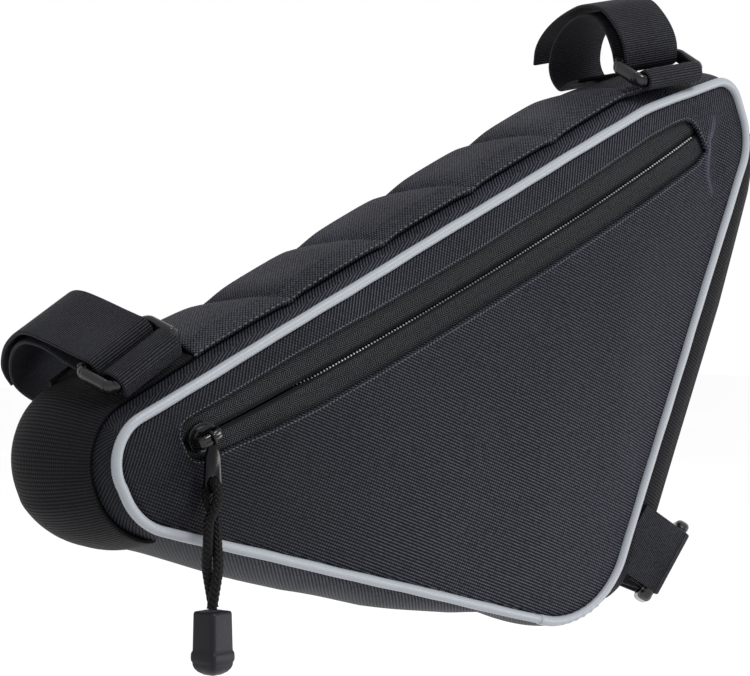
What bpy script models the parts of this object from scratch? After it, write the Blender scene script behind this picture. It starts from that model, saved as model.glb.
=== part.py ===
# A triangular frame bag for a bicycle, held under the top tube by its straps.
# Metres, Z up. The origin is on the top tube's axis, midway between the two top straps.
# The bag is drawn in its own axes: X along its top edge towards the tip, Y from the
# front panel to the back panel, Z up in the plane of the front seam. One empty then
# turns the whole bag so that its top edge rises towards the tip, as under a sloping tube.
import math

import bmesh
import bpy
import numpy as np
from mathutils import Matrix, Vector

# Attitude of the bag
TOP_EDGE_RISE = math.radians(25)

# Clearance between touching pieces
GAP = 0.0003

# Straps and the tube they go round
STRAP_SPACING = 0.245
TUBE_RADIUS = 0.0175

# Outline of the front seam
NOSE_TO_STRAP = 0.0294
TOP_RUN = 0.3079
SHOULDER_RUN = 0.0465
SHOULDER_DROP = 0.007
NOSE_FACE = 0.029
TIP_FACE = 0.0255
NOSE_SLOPE = math.radians(39.7)
TIP_SLOPE = math.radians(40.8)
NOSE_TOP_RADIUS = 0.015
NOSE_LOW_RADIUS = 0.022
SHOULDER_RADIUS = 0.080
TIP_TOP_RADIUS = 0.009
TIP_LOW_RADIUS = 0.022
LOW_RADIUS = 0.034
STATION_STEP = 0.0175
STATION_TURN = math.radians(19)

# Depth from front to back, at the top edge and at the low corner
DEPTH_TOP = 0.052
DEPTH_LOW = 0.034

# Cloth walls and the piping bead
CLOTH = 0.002
BEAD_RADIUS = 0.002
SEAM_ALLOWANCE = 0.0025
DOME = 0.008
DOME_POWER = 2.4
MIDDLE_ALONG = 0.50
MIDDLE_DOWN = 0.33

# Gusset, which stands out between the two seams
ARCH = 0.012
ARCH_STEPS = 8

# Bands on the gusset
BAND_THICKNESS = 0.0018
BAND_LIFT = 0.00045
BAND_EDGE = 0.0072
BAND_PUFF = 0.0022
ROW_SPACING = 0.002
SHARE_SPACING = 0.03
EDGE_PUFF = 0.35
PUFF_SQUARE = 1.6
BAND_TO_STRAP = 0.0155
BAND_PAST_STRAP = 0.01125
CREASE_PITCH = 0.039
WEBBING_THICKNESS = 0.0016
NOSE_EDGE = 0.0081
NOSE_WEBBING_PAST = 0.0132
SIDE_EDGE = 0.0045
SIDE_WEBBING_PAST = 0.0022
SIDE_WEBBING_SHORT = 0.0102

# Zip in the front panel
ZIP_START = 0.0258
ZIP_LENGTH = 0.2607
ZIP_DROP_START = 0.0147
ZIP_DROP_END = 0.0178
ZIP_BOW = 0.0035
ZIP_WIDTH = 0.017
ZIP_TAPE = 0.001
ZIP_TUCK = 0.006
ZIP_HEM = 0.0015
COIL_RADIUS = 0.0008
COIL_FROM = 0.006
COIL_TO = 0.990
ZIP_STEPS = 20

# Slider and pull
SLIDER_LENGTH = 0.011
SLIDER_WIDTH = 0.0082
SLIDER_CORNER = 0.002
SLIDER_PLATE = 0.0015
SLIDER_PLAY = 0.0009
SLIDER_PLACE = 0.0062
BRIDGE_RADIUS = 0.0007
BRIDGE_LENGTH = 0.0080
EYE_WIRE = 0.0006
EYE_RADIUS = 0.0019
TAB_LENGTH = 0.0172
TAB_WIDTH = 0.0062
TAB_THICKNESS = 0.0012
TAB_NECK = 0.48
TAB_SHOULDER = 0.85
TAB_NECK_LENGTH = 0.004
TAB_HOLE_RADIUS = 0.0022
HOLE_RAISE = 0.0002
PULL_CORD_RADIUS = 0.0017
PULL_CORD_LENGTH = 0.0392
CORD_SPREAD = 0.0029
CORD_LOOP_DEPTH = 0.00275
CORD_STEPS = 12
PULL_STANDOFF = 0.0008
PULL_END_BASE = 0.0110
PULL_END_CORNER = 0.16
PULL_END_TURN = math.radians(10)
PULL_END_HEIGHT = 0.0200

# Straps, rings and ring tabs
STRAP_WIDTH = 0.025
STRAP_THICKNESS = 0.0015
RING_LENGTH = 0.0330
RING_WIDTH = 0.018
RING_WIRE_RADIUS = 0.00175
RING_CORNER = 0.0018
ROLL_STEPS = 6
# Feet of a ring tab, before and behind the ring's bar, as shares of the roll's radius
FRONT_LEG = 0.4
BACK_LEG = 1.25
# Least distance of the front foot behind the seam, as a share of the piping's radius
LEG_PAST_BEAD = 1.6

# Bulge of the gusset along the outline: the corner each row starts from, the run past
# it as a share of the top run, the height as a share of ARCH, how square the section is
# and how far its crest leans to the back
GUSSET_ROWS = [
    {"corner": "nose_top", "run": 0.00, "height": 0.75, "square": 2.0, "lean": 1.7},
    {"corner": "nose_top", "run": 0.14, "height": 0.60, "square": 2.2, "lean": 1.2},
    {"corner": "nose_top", "run": 0.24, "height": 0.42, "square": 2.4, "lean": 1.0},
    {"corner": "shoulder", "run": 0.00, "height": 0.54, "square": 2.4, "lean": 1.0},
    {"corner": "tip_top", "run": 0.00, "height": 0.46, "square": 2.4, "lean": 1.0},
    {"corner": "tip_low", "run": 0.05, "height": 1.18, "square": 4.0, "lean": 1.0},
    {"corner": "tip_low", "run": 0.20, "height": 1.30, "square": 6.0, "lean": 1.0},
    {"corner": "low", "run": -0.14, "height": 1.30, "square": 6.0, "lean": 1.0},
    {"corner": "low", "run": 0.00, "height": 0.45, "square": 2.0, "lean": 1.0},
    {"corner": "low", "run": 0.12, "height": 0.05, "square": 2.0, "lean": 1.0},
    {"corner": "nose_low", "run": -0.57, "height": 0.12, "square": 2.0, "lean": 1.0},
    {"corner": "nose_low", "run": -0.47, "height": 0.40, "square": 2.0, "lean": 1.0},
    {"corner": "nose_low", "run": -0.36, "height": 0.66, "square": 2.0, "lean": 1.0},
    {"corner": "nose_low", "run": -0.25, "height": 0.76, "square": 2.0, "lean": 1.0},
    {"corner": "nose_low", "run": -0.08, "height": 0.60, "square": 2.0, "lean": 1.3},
    {"corner": "nose_low", "run": -0.02, "height": 0.58, "square": 2.0, "lean": 1.6},
    {"corner": "nose_low", "run": 0.03, "height": 0.92, "square": 2.0, "lean": 1.7},
]

# How the front panel swells: shares of the way from its middle to its edge
PANEL_RINGS = [1.0, 0.93, 0.80, 0.60, 0.33]

# Half width of the zip's window along its length, as a share of half the zip's width
WINDOW_ROWS = [
    {"along": 0.000, "half": 0.60},
    {"along": 0.012, "half": 0.74},
    {"along": 0.190, "half": 1.00},
    {"along": 0.500, "half": 1.00},
    {"along": 0.950, "half": 1.00},
    {"along": 0.977, "half": 0.90},
    {"along": 0.994, "half": 0.62},
    {"along": 1.000, "half": 0.25},
]

# Places of the rows of points between one crease of the top band and the next
PUFF_SHARES = [0.0, 0.15, 0.5, 0.85]

# More places along the window, so that its edges follow the bowed zip
WINDOW_STEPS = [0.10, 0.35, 0.65, 0.80]

# The two strands of the doubled cord, which cross once: how far down, the turn of the pair
# in degrees and its depth as a share of the depth of the loop through the tab
CORD_ROWS = [
    {"along": 0.00, "turn": 90, "depth": 1.00},
    {"along": 0.08, "turn": 86, "depth": 1.00},
    {"along": 0.26, "turn": 12, "depth": 0.80},
    {"along": 0.50, "turn": -5, "depth": 0.70},
    {"along": 0.78, "turn": -90, "depth": 0.70},
    {"along": 1.00, "turn": -135, "depth": 0.70},
]

# Half of the cord's bend through the tab, as shares of its depth: to one side and up
CORD_BEND = [(0.50, 0.0), (0.82, -0.18), (1.0, -0.50)]

# Outline of the pull end: how far down, and its width as a share of its base's width
PULL_END_ROWS = [(0.00, 0.77), (0.04, 0.82), (0.60, 0.85), (0.74, 1.0), (0.90, 1.0), (0.92, 0.93),
                 (1.00, 0.80)]

# The three straps. Each stands on the front seam at a place along the outline, and its
# loop lies in the plane across its own width: "back" goes to the back panel and "out"
# away from the bag. Rows of the loop are shares of its reach (back) and rise (out),
# first the layer that is sewn down at the back, then the layer folded back over it.
STRAPS = {
    "left": {
        "corner": "nose_top", "run": NOSE_TO_STRAP, "turn": math.radians(-7), "yaw": 0.0,
        "reach": 0.0685, "rise": 0.0275, "ring_back": 0.0133, "ring_out": 0.0153,
        "ring_tilt": math.radians(25),
        "sewn": [(0.650, None), (0.725, 0.24), (0.823, 0.112), (0.929, 0.180),
                 (0.996, 0.345), (0.957, 0.582), (0.843, 0.840), (0.700, 0.970),
                 (0.557, 0.910), (0.429, 0.720)],
        "folded": [(0.357, 0.860), (0.509, 1.010), (0.629, 1.098), (0.734, 1.077),
                   (0.890, 0.895), (1.006, 0.650), (1.035, 0.487), (1.025, 0.342)],
    },
    "right": {
        "corner": "nose_top", "run": NOSE_TO_STRAP + STRAP_SPACING,
        "turn": math.radians(6), "yaw": math.radians(-7),
        "reach": 0.0500, "rise": 0.0345, "ring_back": 0.0052, "ring_out": 0.0122,
        "ring_tilt": math.radians(28),
        "sewn": [(0.740, None), (0.880, None), (0.990, 0.215), (1.070, 0.330), (1.075, 0.500),
                 (0.990, 0.720), (0.820, 0.900), (0.620, 0.990), (0.460, 0.955),
                 (0.355, 0.800), (0.305, 0.600)],
        "folded": [(0.160, 0.590), (0.190, 0.740), (0.260, 0.890), (0.365, 1.030),
                   (0.500, 1.088), (0.660, 1.083), (0.900, 0.985), (1.090, 0.850),
                   (1.215, 0.690), (1.270, 0.510)],
    },
    "lower": {
        "corner": "low", "run": -0.0335, "turn": math.radians(6), "yaw": math.radians(10),
        "reach": 0.0435, "rise": 0.0335, "ring_back": 0.0078, "ring_out": 0.0285,
        "ring_tilt": math.radians(38),
        "sewn": [(0.500, None), (0.700, None), (0.830, 0.445), (0.940, 0.470), (1.000, 0.600),
                 (0.980, 0.790), (0.870, 0.940), (0.690, 0.990), (0.500, 0.930)],
        "folded": [(0.420, 1.130), (0.620, 1.150), (0.840, 1.100), (1.010, 0.970),
                   (1.090, 0.780)],
    },
}

COLOURS = {
    "bag cloth": (0.021, 0.021, 0.030, 1.0, 0.75, 0.0),
    "band cloth": (0.045, 0.045, 0.058, 1.0, 0.75, 0.0),
    "webbing": (0.010, 0.010, 0.012, 1.0, 0.65, 0.0),
    "reflective piping": (0.40, 0.42, 0.46, 1.0, 0.38, 0.0),
    "zip tape": (0.010, 0.010, 0.011, 1.0, 0.70, 0.0),
    "black metal": (0.012, 0.012, 0.013, 1.0, 0.22, 0.9),
    "gloss plastic": (0.012, 0.012, 0.014, 1.0, 0.20, 0.0),
    "pull cord": (0.008, 0.008, 0.009, 1.0, 0.60, 0.0),
    "moulded rubber": (0.050, 0.050, 0.062, 1.0, 0.50, 0.0),
}


def clear_scene():
    for item in list(bpy.data.objects):
        bpy.data.objects.remove(item, do_unlink=True)


clear_scene()
parts = bpy.data.collections.new("frame bag")
cutters = bpy.data.collections.new("cutters")
bpy.context.scene.collection.children.link(parts)
bpy.context.scene.collection.children.link(cutters)

bag = bpy.data.objects.new("bag axes", None)
bag.rotation_euler = (0.0, -TOP_EDGE_RISE, 0.0)
parts.objects.link(bag)


def finish(name):
    """A Principled material with one of the bag's colours."""
    made = bpy.data.materials.get(name)
    if made:
        return made
    red, green, blue, alpha, roughness, metallic = COLOURS[name]
    made = bpy.data.materials.new(name)
    made.use_nodes = True
    shader = made.node_tree.nodes["Principled BSDF"]
    shader.inputs["Base Color"].default_value = (red, green, blue, alpha)
    shader.inputs["Roughness"].default_value = roughness
    shader.inputs["Metallic"].default_value = metallic
    return made


def place(made, colour, frame=None, parent=None):
    """Puts a new object in the bag, in the bag's own axes or a frame within them."""
    parts.objects.link(made)
    made.parent = parent or bag
    made.matrix_local = frame or Matrix.Identity(4)
    if not made.data.materials:
        made.data.materials.append(finish(colour))
    return made


def sheet(name, rows, colour, thickness, closed=False, centred=False, frame=None, cap=None):
    """An open surface through rows of points, given its thickness by Solidify."""
    wide = len(rows[0])
    verts = [tuple(point) for row in rows for point in row]
    faces = []
    last = len(rows) if closed else len(rows) - 1
    for i in range(last):
        k = (i + 1) % len(rows)
        for j in range(wide - 1):
            faces.append((i * wide + j, k * wide + j, k * wide + j + 1, i * wide + j + 1))
    if cap is not None:
        verts.append(tuple(cap))
        for i in range(last):
            k = (i + 1) % len(rows)
            faces.append((i * wide + wide - 1, k * wide + wide - 1, len(verts) - 1))
    mesh = bpy.data.meshes.new(name)
    mesh.from_pydata(verts, [], faces)
    mesh.shade_smooth()
    made = place(bpy.data.objects.new(name, mesh), colour, frame)
    wall = made.modifiers.new("wall", "SOLIDIFY")
    wall.thickness = thickness
    wall.offset = 0.0 if centred else -1.0
    wall.use_even_offset = centred
    return made


def tube(name, points, radius, colour, closed=False, sides=6, frame=None, parent=None):
    """A round bead, bar or cord along a polyline."""
    curve = bpy.data.curves.new(name, "CURVE")
    curve.dimensions = "3D"
    curve.bevel_depth = radius
    curve.bevel_resolution = (sides - 4) // 2
    curve.use_fill_caps = not closed
    spline = curve.splines.new("POLY")
    spline.points.add(len(points) - 1)
    for point, place_at in zip(spline.points, points):
        point.co = (*place_at, 1.0)
    spline.use_cyclic_u = closed
    return place(bpy.data.objects.new(name, curve), colour, frame, parent)


def flat(name, outline, thickness, colour, holes=(), frame=None, parent=None, cutter=False):
    """A flat plate in its own XY plane, as a filled 2D curve."""
    curve = bpy.data.curves.new(name, "CURVE")
    curve.dimensions = "2D"
    curve.fill_mode = "BOTH"
    curve.extrude = thickness / 2
    for loop in (outline, *holes):
        spline = curve.splines.new("POLY")
        spline.points.add(len(loop) - 1)
        for point, place_at in zip(spline.points, loop):
            point.co = (place_at[0], place_at[1], 0.0, 1.0)
        spline.use_cyclic_u = True
    made = place(bpy.data.objects.new(name, curve), colour, frame, parent)
    return as_mesh(made, cutter)


def as_mesh(made, cutter=False):
    """Turns a curve object into a welded mesh object of the same name and place."""
    bpy.context.view_layer.update()
    seen = made.evaluated_get(bpy.context.evaluated_depsgraph_get())
    mesh = bpy.data.meshes.new_from_object(seen)
    name = made.name
    parent = made.parent
    local = made.matrix_local.copy()
    bpy.data.objects.remove(made, do_unlink=True)
    weld(mesh)
    solid = bpy.data.objects.new(name, mesh)
    (cutters if cutter else parts).objects.link(solid)
    solid.parent = parent
    solid.matrix_local = local
    if cutter:
        solid.hide_render = True
        solid.display_type = "WIRE"
    return solid


def weld(mesh):
    work = bmesh.new()
    work.from_mesh(mesh)
    bmesh.ops.remove_doubles(work, verts=work.verts, dist=0.00002)
    bmesh.ops.recalc_face_normals(work, faces=work.faces)
    work.to_mesh(mesh)
    work.free()


def combine(made, other, operation):
    """Cuts another solid from this one, or joins it on, and keeps the other as a cutter."""
    step = made.modifiers.new(operation.lower(), "BOOLEAN")
    step.object = other
    step.operation = operation
    step.solver = "EXACT"


# The outline of the front seam, as corners in the bag's X and Z
seam_top = -(TUBE_RADIUS + ARCH + BAND_LIFT + BAND_THICKNESS + BAND_PUFF)
nose_x = -(STRAP_SPACING / 2 + NOSE_TO_STRAP)
tip_x = nose_x + TOP_RUN
CORNERS = {
    "nose_top": ((nose_x, seam_top), NOSE_TOP_RADIUS),
    "shoulder": ((tip_x - SHOULDER_RUN, seam_top), SHOULDER_RADIUS),
    "tip_top": ((tip_x, seam_top - SHOULDER_DROP), TIP_TOP_RADIUS),
    "tip_low": ((tip_x, seam_top - SHOULDER_DROP - TIP_FACE), TIP_LOW_RADIUS),
    "low": (None, LOW_RADIUS),
    "nose_low": ((nose_x, seam_top - NOSE_FACE), NOSE_LOW_RADIUS),
}


def low_corner():
    """Where the bottom edge from the nose meets the edge from the tip."""
    nose = CORNERS["nose_low"][0]
    tip = CORNERS["tip_low"][0]
    fall = np.array([[math.cos(NOSE_SLOPE), math.cos(TIP_SLOPE)],
                     [-math.sin(NOSE_SLOPE), math.sin(TIP_SLOPE)]])
    along = np.linalg.solve(fall, np.array([tip[0] - nose[0], tip[1] - nose[1]]))
    x = nose[0] + along[0] * math.cos(NOSE_SLOPE)
    z = nose[1] - along[0] * math.sin(NOSE_SLOPE)
    return float(x), float(z)


CORNERS["low"] = (low_corner(), LOW_RADIUS)


class Station:
    """One place on the front seam, with its outward direction and its run from the start."""

    def __init__(self, x, z, out, run):
        self.x = x
        self.z = z
        self.out = out
        self.run = run


def trace_outline():
    """Stations round the seam, clockwise from the nose's upper corner, and corner runs."""
    names = list(CORNERS)
    points = [Vector(CORNERS[name][0]) for name in names]
    stations = []
    corner_runs = {}
    run = 0.0
    arcs = []
    for i, corner in enumerate(points):
        before = (points[i - 1] - corner).normalized()
        after = (points[(i + 1) % len(points)] - corner).normalized()
        inside = before.angle(after)
        radius = CORNERS[names[i]][1]
        tangent = radius / math.tan(inside / 2)
        centre = corner + (before + after).normalized() * radius / math.sin(inside / 2)
        arcs.append((corner, before, after, math.pi - inside, radius, tangent, centre))
    for i, (corner, before, after, turn, radius, tangent, centre) in enumerate(arcs):
        start = corner + before * tangent - centre
        steps = max(2, math.ceil(turn / STATION_TURN))
        first = math.atan2(start.y, start.x)
        for step in range(steps + 1):
            angle = first - turn * step / steps
            out = Vector((math.cos(angle), math.sin(angle)))
            at = centre + out * radius
            if step:
                run += radius * turn / steps
            stations.append(Station(at.x, at.y, out, run))
        corner_runs[names[i]] = run - radius * turn / 2
        following = arcs[(i + 1) % len(arcs)]
        leave = corner + after * tangent
        arrive = following[0] + following[1] * following[5]
        length = (arrive - leave).length
        pieces = max(1, math.ceil(length / STATION_STEP))
        for piece in range(1, pieces):
            at = leave.lerp(arrive, piece / pieces)
            stations.append(Station(at.x, at.y, stations[-1].out, run + length * piece / pieces))
        run += length
    return stations, corner_runs, run


stations, corner_runs, perimeter = trace_outline()
front_seam = -DEPTH_TOP / 2


def depth_at(z):
    """Front to back depth, which narrows from the top edge to the low corner."""
    low_z = CORNERS["low"][0][1]
    share = min(1.0, max(0.0, (seam_top - z) / (seam_top - low_z)))
    return DEPTH_TOP + (DEPTH_LOW - DEPTH_TOP) * share


def gusset_row(run):
    """Height, squareness and lean of the gusset at a run along the outline."""
    places = [(corner_runs[row["corner"]] + row["run"] * TOP_RUN) % perimeter for row in GUSSET_ROWS]
    form = []
    for key in ("height", "square", "lean"):
        values = [row[key] for row in GUSSET_ROWS]
        form.append(float(np.interp(run, places, values, period=perimeter)))
    return form


def seam_span(z):
    """The gusset's front and back edges in Y at a height."""
    near = front_seam + BEAD_RADIUS + GAP
    far = front_seam + depth_at(z) - CLOTH - GAP
    return near, far


# Share of the gusset's width over which its slope is taken
SLOPE_STEP = 0.03
arch_shares = [(1 - math.cos(math.pi * j / ARCH_STEPS)) / 2 for j in range(ARCH_STEPS + 1)]


def arch_heights(run):
    """How far the gusset stands out at each share of the way from front to back."""
    height, square, lean = gusset_row(run)
    heights = []
    for share in arch_shares:
        side = abs(2 * share ** lean - 1)
        heights.append(ARCH * height * (1 - side ** square) ** 0.5)
    return heights


def station_at(run):
    """A station between its neighbours, as the faceted gusset has it."""
    run = run % perimeter
    for a, b in zip(stations, [*stations[1:], stations[0]]):
        end = b.run if b.run > a.run else b.run + perimeter
        if a.run <= run <= end:
            share = (run - a.run) / max(end - a.run, 1e-9)
            out = (a.out * (1 - share) + b.out * share).normalized()
            here = Station(a.x + (b.x - a.x) * share, a.z + (b.z - a.z) * share, out, run)
            return here, a, b, share
    return stations[0], stations[0], stations[0], 0.0


def on_section(end, share, lift):
    """A point on the gusset at one station, lifted square to the section's own slope."""
    near, far = seam_span(end.z)
    heights = arch_heights(end.run)
    places = [share, share - SLOPE_STEP, share + SLOPE_STEP]
    here, before, after = np.interp(places, arch_shares, heights)
    wide = (far - near) * (min(1.0, share + SLOPE_STEP) - max(0.0, share - SLOPE_STEP))
    normal = Vector((wide, before - after)).normalized()
    out = here + normal.x * lift
    return Vector((end.x + end.out.x * out, near + (far - near) * share + normal.y * lift,
                   end.z + end.out.y * out))


def on_gusset(run, share, lift=0.0):
    """A point over the gusset's outer face, at a run and a share of the way to the back."""
    a, b, along = station_at(run)[1:]
    return on_section(a, share, lift).lerp(on_section(b, share, lift), along)


def make_gusset():
    rows = []
    for place_at in stations:
        near, far = seam_span(place_at.z)
        heights = arch_heights(place_at.run)
        section = [(-SEAM_ALLOWANCE, near)]
        for height, share in zip(heights, arch_shares):
            section.append((height, near + (far - near) * share))
        section.append((-SEAM_ALLOWANCE, far))
        row = []
        for out, y in section:
            row.append((place_at.x + place_at.out.x * out, y, place_at.z + place_at.out.y * out))
        rows.append(row)
    return sheet("gusset", rows, "bag cloth", CLOTH, closed=True)


# Middle of a panel, where it swells most
middle_x = nose_x + TOP_RUN * MIDDLE_ALONG
middle_z = seam_top - (seam_top - CORNERS["low"][0][1]) * MIDDLE_DOWN


def panel_share(x, z, inset):
    """How far a point is from the panel's middle to its edge, from 0 to 1."""
    dx, dz = x - middle_x, z - middle_z
    if abs(dx) + abs(dz) < 1e-9:
        return 0.0
    edge = [(s.x + s.out.x * inset, s.z + s.out.y * inset) for s in stations]
    for (ax, az), (bx, bz) in zip(edge, [*edge[1:], edge[0]]):
        ex, ez = bx - ax, bz - az
        across = dx * ez - dz * ex
        if abs(across) < 1e-12:
            continue
        reach = ((ax - middle_x) * ez - (az - middle_z) * ex) / across
        along = ((ax - middle_x) * dz - (az - middle_z) * dx) / across
        if reach > 0 and -1e-6 <= along <= 1 + 1e-6:
            return 1 / reach
    return 1.0


def swell(share):
    """How far the panel stands out at a share of the way from its middle to its edge."""
    shares = sorted([0.0, *PANEL_RINGS])
    return float(np.interp(share, shares, [DOME * (1 - each ** DOME_POWER) for each in shares]))


panel_inset = -(BEAD_RADIUS + GAP)


def front_face(x, z):
    """Y of the front panel's outer face."""
    return front_seam - swell(panel_share(x, z, panel_inset))


def panel_rows(inset, side):
    rows = []
    for place_at in stations:
        edge_x = place_at.x + place_at.out.x * inset
        edge_z = place_at.z + place_at.out.y * inset
        row = []
        for share in PANEL_RINGS:
            x = middle_x + (edge_x - middle_x) * share
            z = middle_z + (edge_z - middle_z) * share
            base = front_seam if side < 0 else front_seam + depth_at(z)
            row.append((x, base + side * swell(share), z))
        rows.append(row)
    base = front_seam if side < 0 else front_seam + depth_at(middle_z)
    return rows, (middle_x, base + side * DOME, middle_z)


def zip_centre(along):
    """The zip's centre line in X and Z, from its start (0) to its end (1)."""
    x = nose_x + ZIP_START + ZIP_LENGTH * along
    drop = ZIP_DROP_START + (ZIP_DROP_END - ZIP_DROP_START) * along
    bow = ZIP_BOW * 4 * along * (1 - along)
    return x, seam_top - drop - bow


def window_half(along):
    return ZIP_WIDTH / 2 * float(np.interp(along, [row["along"] for row in WINDOW_ROWS],
                                           [row["half"] for row in WINDOW_ROWS]))


def make_front_panel():
    rows, middle = panel_rows(panel_inset, -1)
    panel = sheet("front_panel", [row[::-1] for row in rows], "bag cloth", CLOTH, closed=True)
    fill_middle(panel, middle, len(PANEL_RINGS))
    places = sorted({row["along"] for row in WINDOW_ROWS} | set(WINDOW_STEPS))
    upper = []
    lower = []
    for along in places:
        x, z = zip_centre(along)
        upper.append((x, z + window_half(along)))
        lower.append((x, z - window_half(along)))
    lower.reverse()
    facing = Matrix.Translation((0.0, front_seam, 0.0)) @ Matrix.Rotation(math.pi / 2, 4, "X")
    window = flat("window cutter", upper + lower, (DOME + CLOTH) * 3, "bag cloth", frame=facing,
                  cutter=True)
    combine(panel, window, "DIFFERENCE")
    return panel


def fill_middle(panel, middle, wide):
    """Closes the open ring in a panel's middle with a fan of triangles."""
    mesh = panel.data
    verts = [tuple(v.co) for v in mesh.vertices]
    faces = [tuple(p.vertices) for p in mesh.polygons]
    count = len(verts) // wide
    verts.append(middle)
    for i in range(count):
        k = (i + 1) % count
        faces.append((k * wide, i * wide, len(verts) - 1))
    mesh.clear_geometry()
    mesh.from_pydata(verts, [], faces)
    mesh.shade_smooth()


def make_back_panel():
    rows, middle = panel_rows(0.0, 1)
    panel = sheet("back_panel", rows, "bag cloth", CLOTH, closed=True, cap=middle)
    return panel


def make_piping():
    points = [(s.x, front_seam, s.z) for s in stations]
    return tube("piping", points, BEAD_RADIUS, "reflective piping", closed=True)


def band_rows(run_from, run_to, edge_front, edge_back, lift, extra=(), puff=None):
    """Rows of points over the gusset between two runs and two edges, with every grid line."""
    runs = {run_from, run_to, *extra}
    own = list(runs)
    for station in stations:
        for run in (station.run - perimeter, station.run, station.run + perimeter):
            if run_from < run < run_to and min(abs(run - each) for each in own) > ROW_SPACING:
                runs.add(run)
    inner = arch_shares[2:-2]
    rows = []
    for run in sorted(runs):
        z = station_at(run)[0].z
        near, far = seam_span(z)
        first = (front_seam + edge_front - near) / (far - near)
        last = (front_seam + depth_at(z) - edge_back - near) / (far - near)
        shares = [share for share in inner if first + SHARE_SPACING < share < last - SHARE_SPACING]
        shares = [first, *shares, last]
        while len(shares) < len(inner) + 2:
            shares.insert(1, (shares[0] + shares[1]) / 2)
        rise = puff(run) if puff else 0.0
        row = []
        for k, share in enumerate(shares):
            at_edge = k in (0, len(shares) - 1)
            row.append(on_gusset(run, share, lift + rise * (EDGE_PUFF if at_edge else 1.0)))
        rows.append(row)
    return rows


def run_of_top(x):
    """Run along the outline of a place on the top edge, by its distance from the nose."""
    return corner_runs["nose_top"] + x - corner_excess("nose_top")


def corner_excess(name):
    """How much longer the way by a corner's point is than round half of its arc."""
    names = list(CORNERS)
    i = names.index(name)
    points = [Vector(CORNERS[each][0]) for each in names]
    inside = (points[i - 1] - points[i]).angle(points[(i + 1) % len(points)] - points[i])
    radius = CORNERS[name][1]
    return radius / math.tan(inside / 2) - radius * (math.pi - inside) / 2


def make_top_band():
    start = run_of_top(NOSE_TO_STRAP + RING_LENGTH / 2)
    flat_from = run_of_top(NOSE_TO_STRAP + STRAP_SPACING - BAND_TO_STRAP)
    end = run_of_top(NOSE_TO_STRAP + STRAP_SPACING + BAND_PAST_STRAP)
    creases = round((flat_from - start) / CREASE_PITCH)
    pitch = (flat_from - start) / creases
    extra = [flat_from]
    for k in range(creases):
        extra += [start + pitch * (k + share) for share in PUFF_SHARES]

    def puff(run):
        along = max(0.0, run - start) / pitch
        if along >= creases:
            return 0.0
        return BAND_PUFF * min(1.0, math.sin(math.pi * (along % 1.0)) * PUFF_SQUARE)

    rows = band_rows(start, end, BAND_EDGE, BAND_EDGE, BAND_LIFT + BAND_THICKNESS, extra, puff)
    return sheet("top_band", rows, "band cloth", BAND_THICKNESS)


def make_nose_webbing():
    end = run_of_top(NOSE_TO_STRAP + RING_LENGTH / 2) - GAP
    start = corner_runs["nose_low"] - NOSE_WEBBING_PAST - perimeter
    rows = band_rows(start, end, NOSE_EDGE, BAND_EDGE, BAND_LIFT + WEBBING_THICKNESS)
    return sheet("nose_webbing", rows, "webbing", WEBBING_THICKNESS)


def make_side_webbing():
    start = corner_runs["tip_low"] - SIDE_WEBBING_PAST
    end = corner_runs["low"] - SIDE_WEBBING_SHORT
    rows = band_rows(start, end, SIDE_EDGE, SIDE_EDGE, BAND_LIFT + WEBBING_THICKNESS)
    return sheet("side_webbing", rows, "webbing", WEBBING_THICKNESS)


def tape_y(x, z):
    """Y of the zip tape's outer face, just behind the panel."""
    return front_face(x, z) + CLOTH + GAP * 2


def make_zip():
    for name, side in (("zip_tape_upper", 1), ("zip_tape_lower", -1)):
        rows = []
        for k in range(ZIP_STEPS + 1):
            along = -ZIP_TUCK + (1 + 2 * ZIP_TUCK) * k / ZIP_STEPS
            x, z = zip_centre(along)
            row = []
            for share in (0.0, 0.5, 1.0):
                across = z + side * (GAP + (ZIP_WIDTH / 2 + ZIP_HEM - GAP) * share)
                row.append((x, tape_y(x, across), across))
            rows.append(row if side > 0 else row[::-1])
        sheet(name, rows, "zip tape", ZIP_TAPE)
    points = []
    for k in range(ZIP_STEPS + 1):
        x, z = zip_centre(COIL_FROM + (COIL_TO - COIL_FROM) * k / ZIP_STEPS)
        points.append((x, tape_y(x, z) - GAP - COIL_RADIUS, z))
    tube("zip_coil", points, COIL_RADIUS, "zip tape")


slider_along = SLIDER_PLACE / ZIP_LENGTH
slider_x, slider_z = zip_centre(slider_along)
coil_y = tape_y(slider_x, slider_z) - GAP - COIL_RADIUS
slider_base_y = tape_y(slider_x, slider_z) - GAP * 2
slider_top_y = coil_y - COIL_RADIUS - GAP - SLIDER_PLATE
pivot_y = slider_top_y - 2 * EYE_WIRE - 2 * GAP - BRIDGE_RADIUS - PULL_STANDOFF
pivot = Vector((slider_x, pivot_y, slider_z))


def rounded_rectangle(length, width, radius, steps=3):
    points = []
    for corner, (sx, sy) in enumerate(((1, 1), (-1, 1), (-1, -1), (1, -1))):
        for step in range(steps + 1):
            angle = math.pi / 2 * (corner + step / steps)
            points.append((sx * (length / 2 - radius) + radius * math.cos(angle),
                           sy * (width / 2 - radius) + radius * math.sin(angle)))
    return points


def circle(radius, count):
    """Points round a circle, from the first axis towards the second."""
    angles = [2 * math.pi * k / count for k in range(count)]
    return [(radius * math.cos(angle), radius * math.sin(angle)) for angle in angles]


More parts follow.
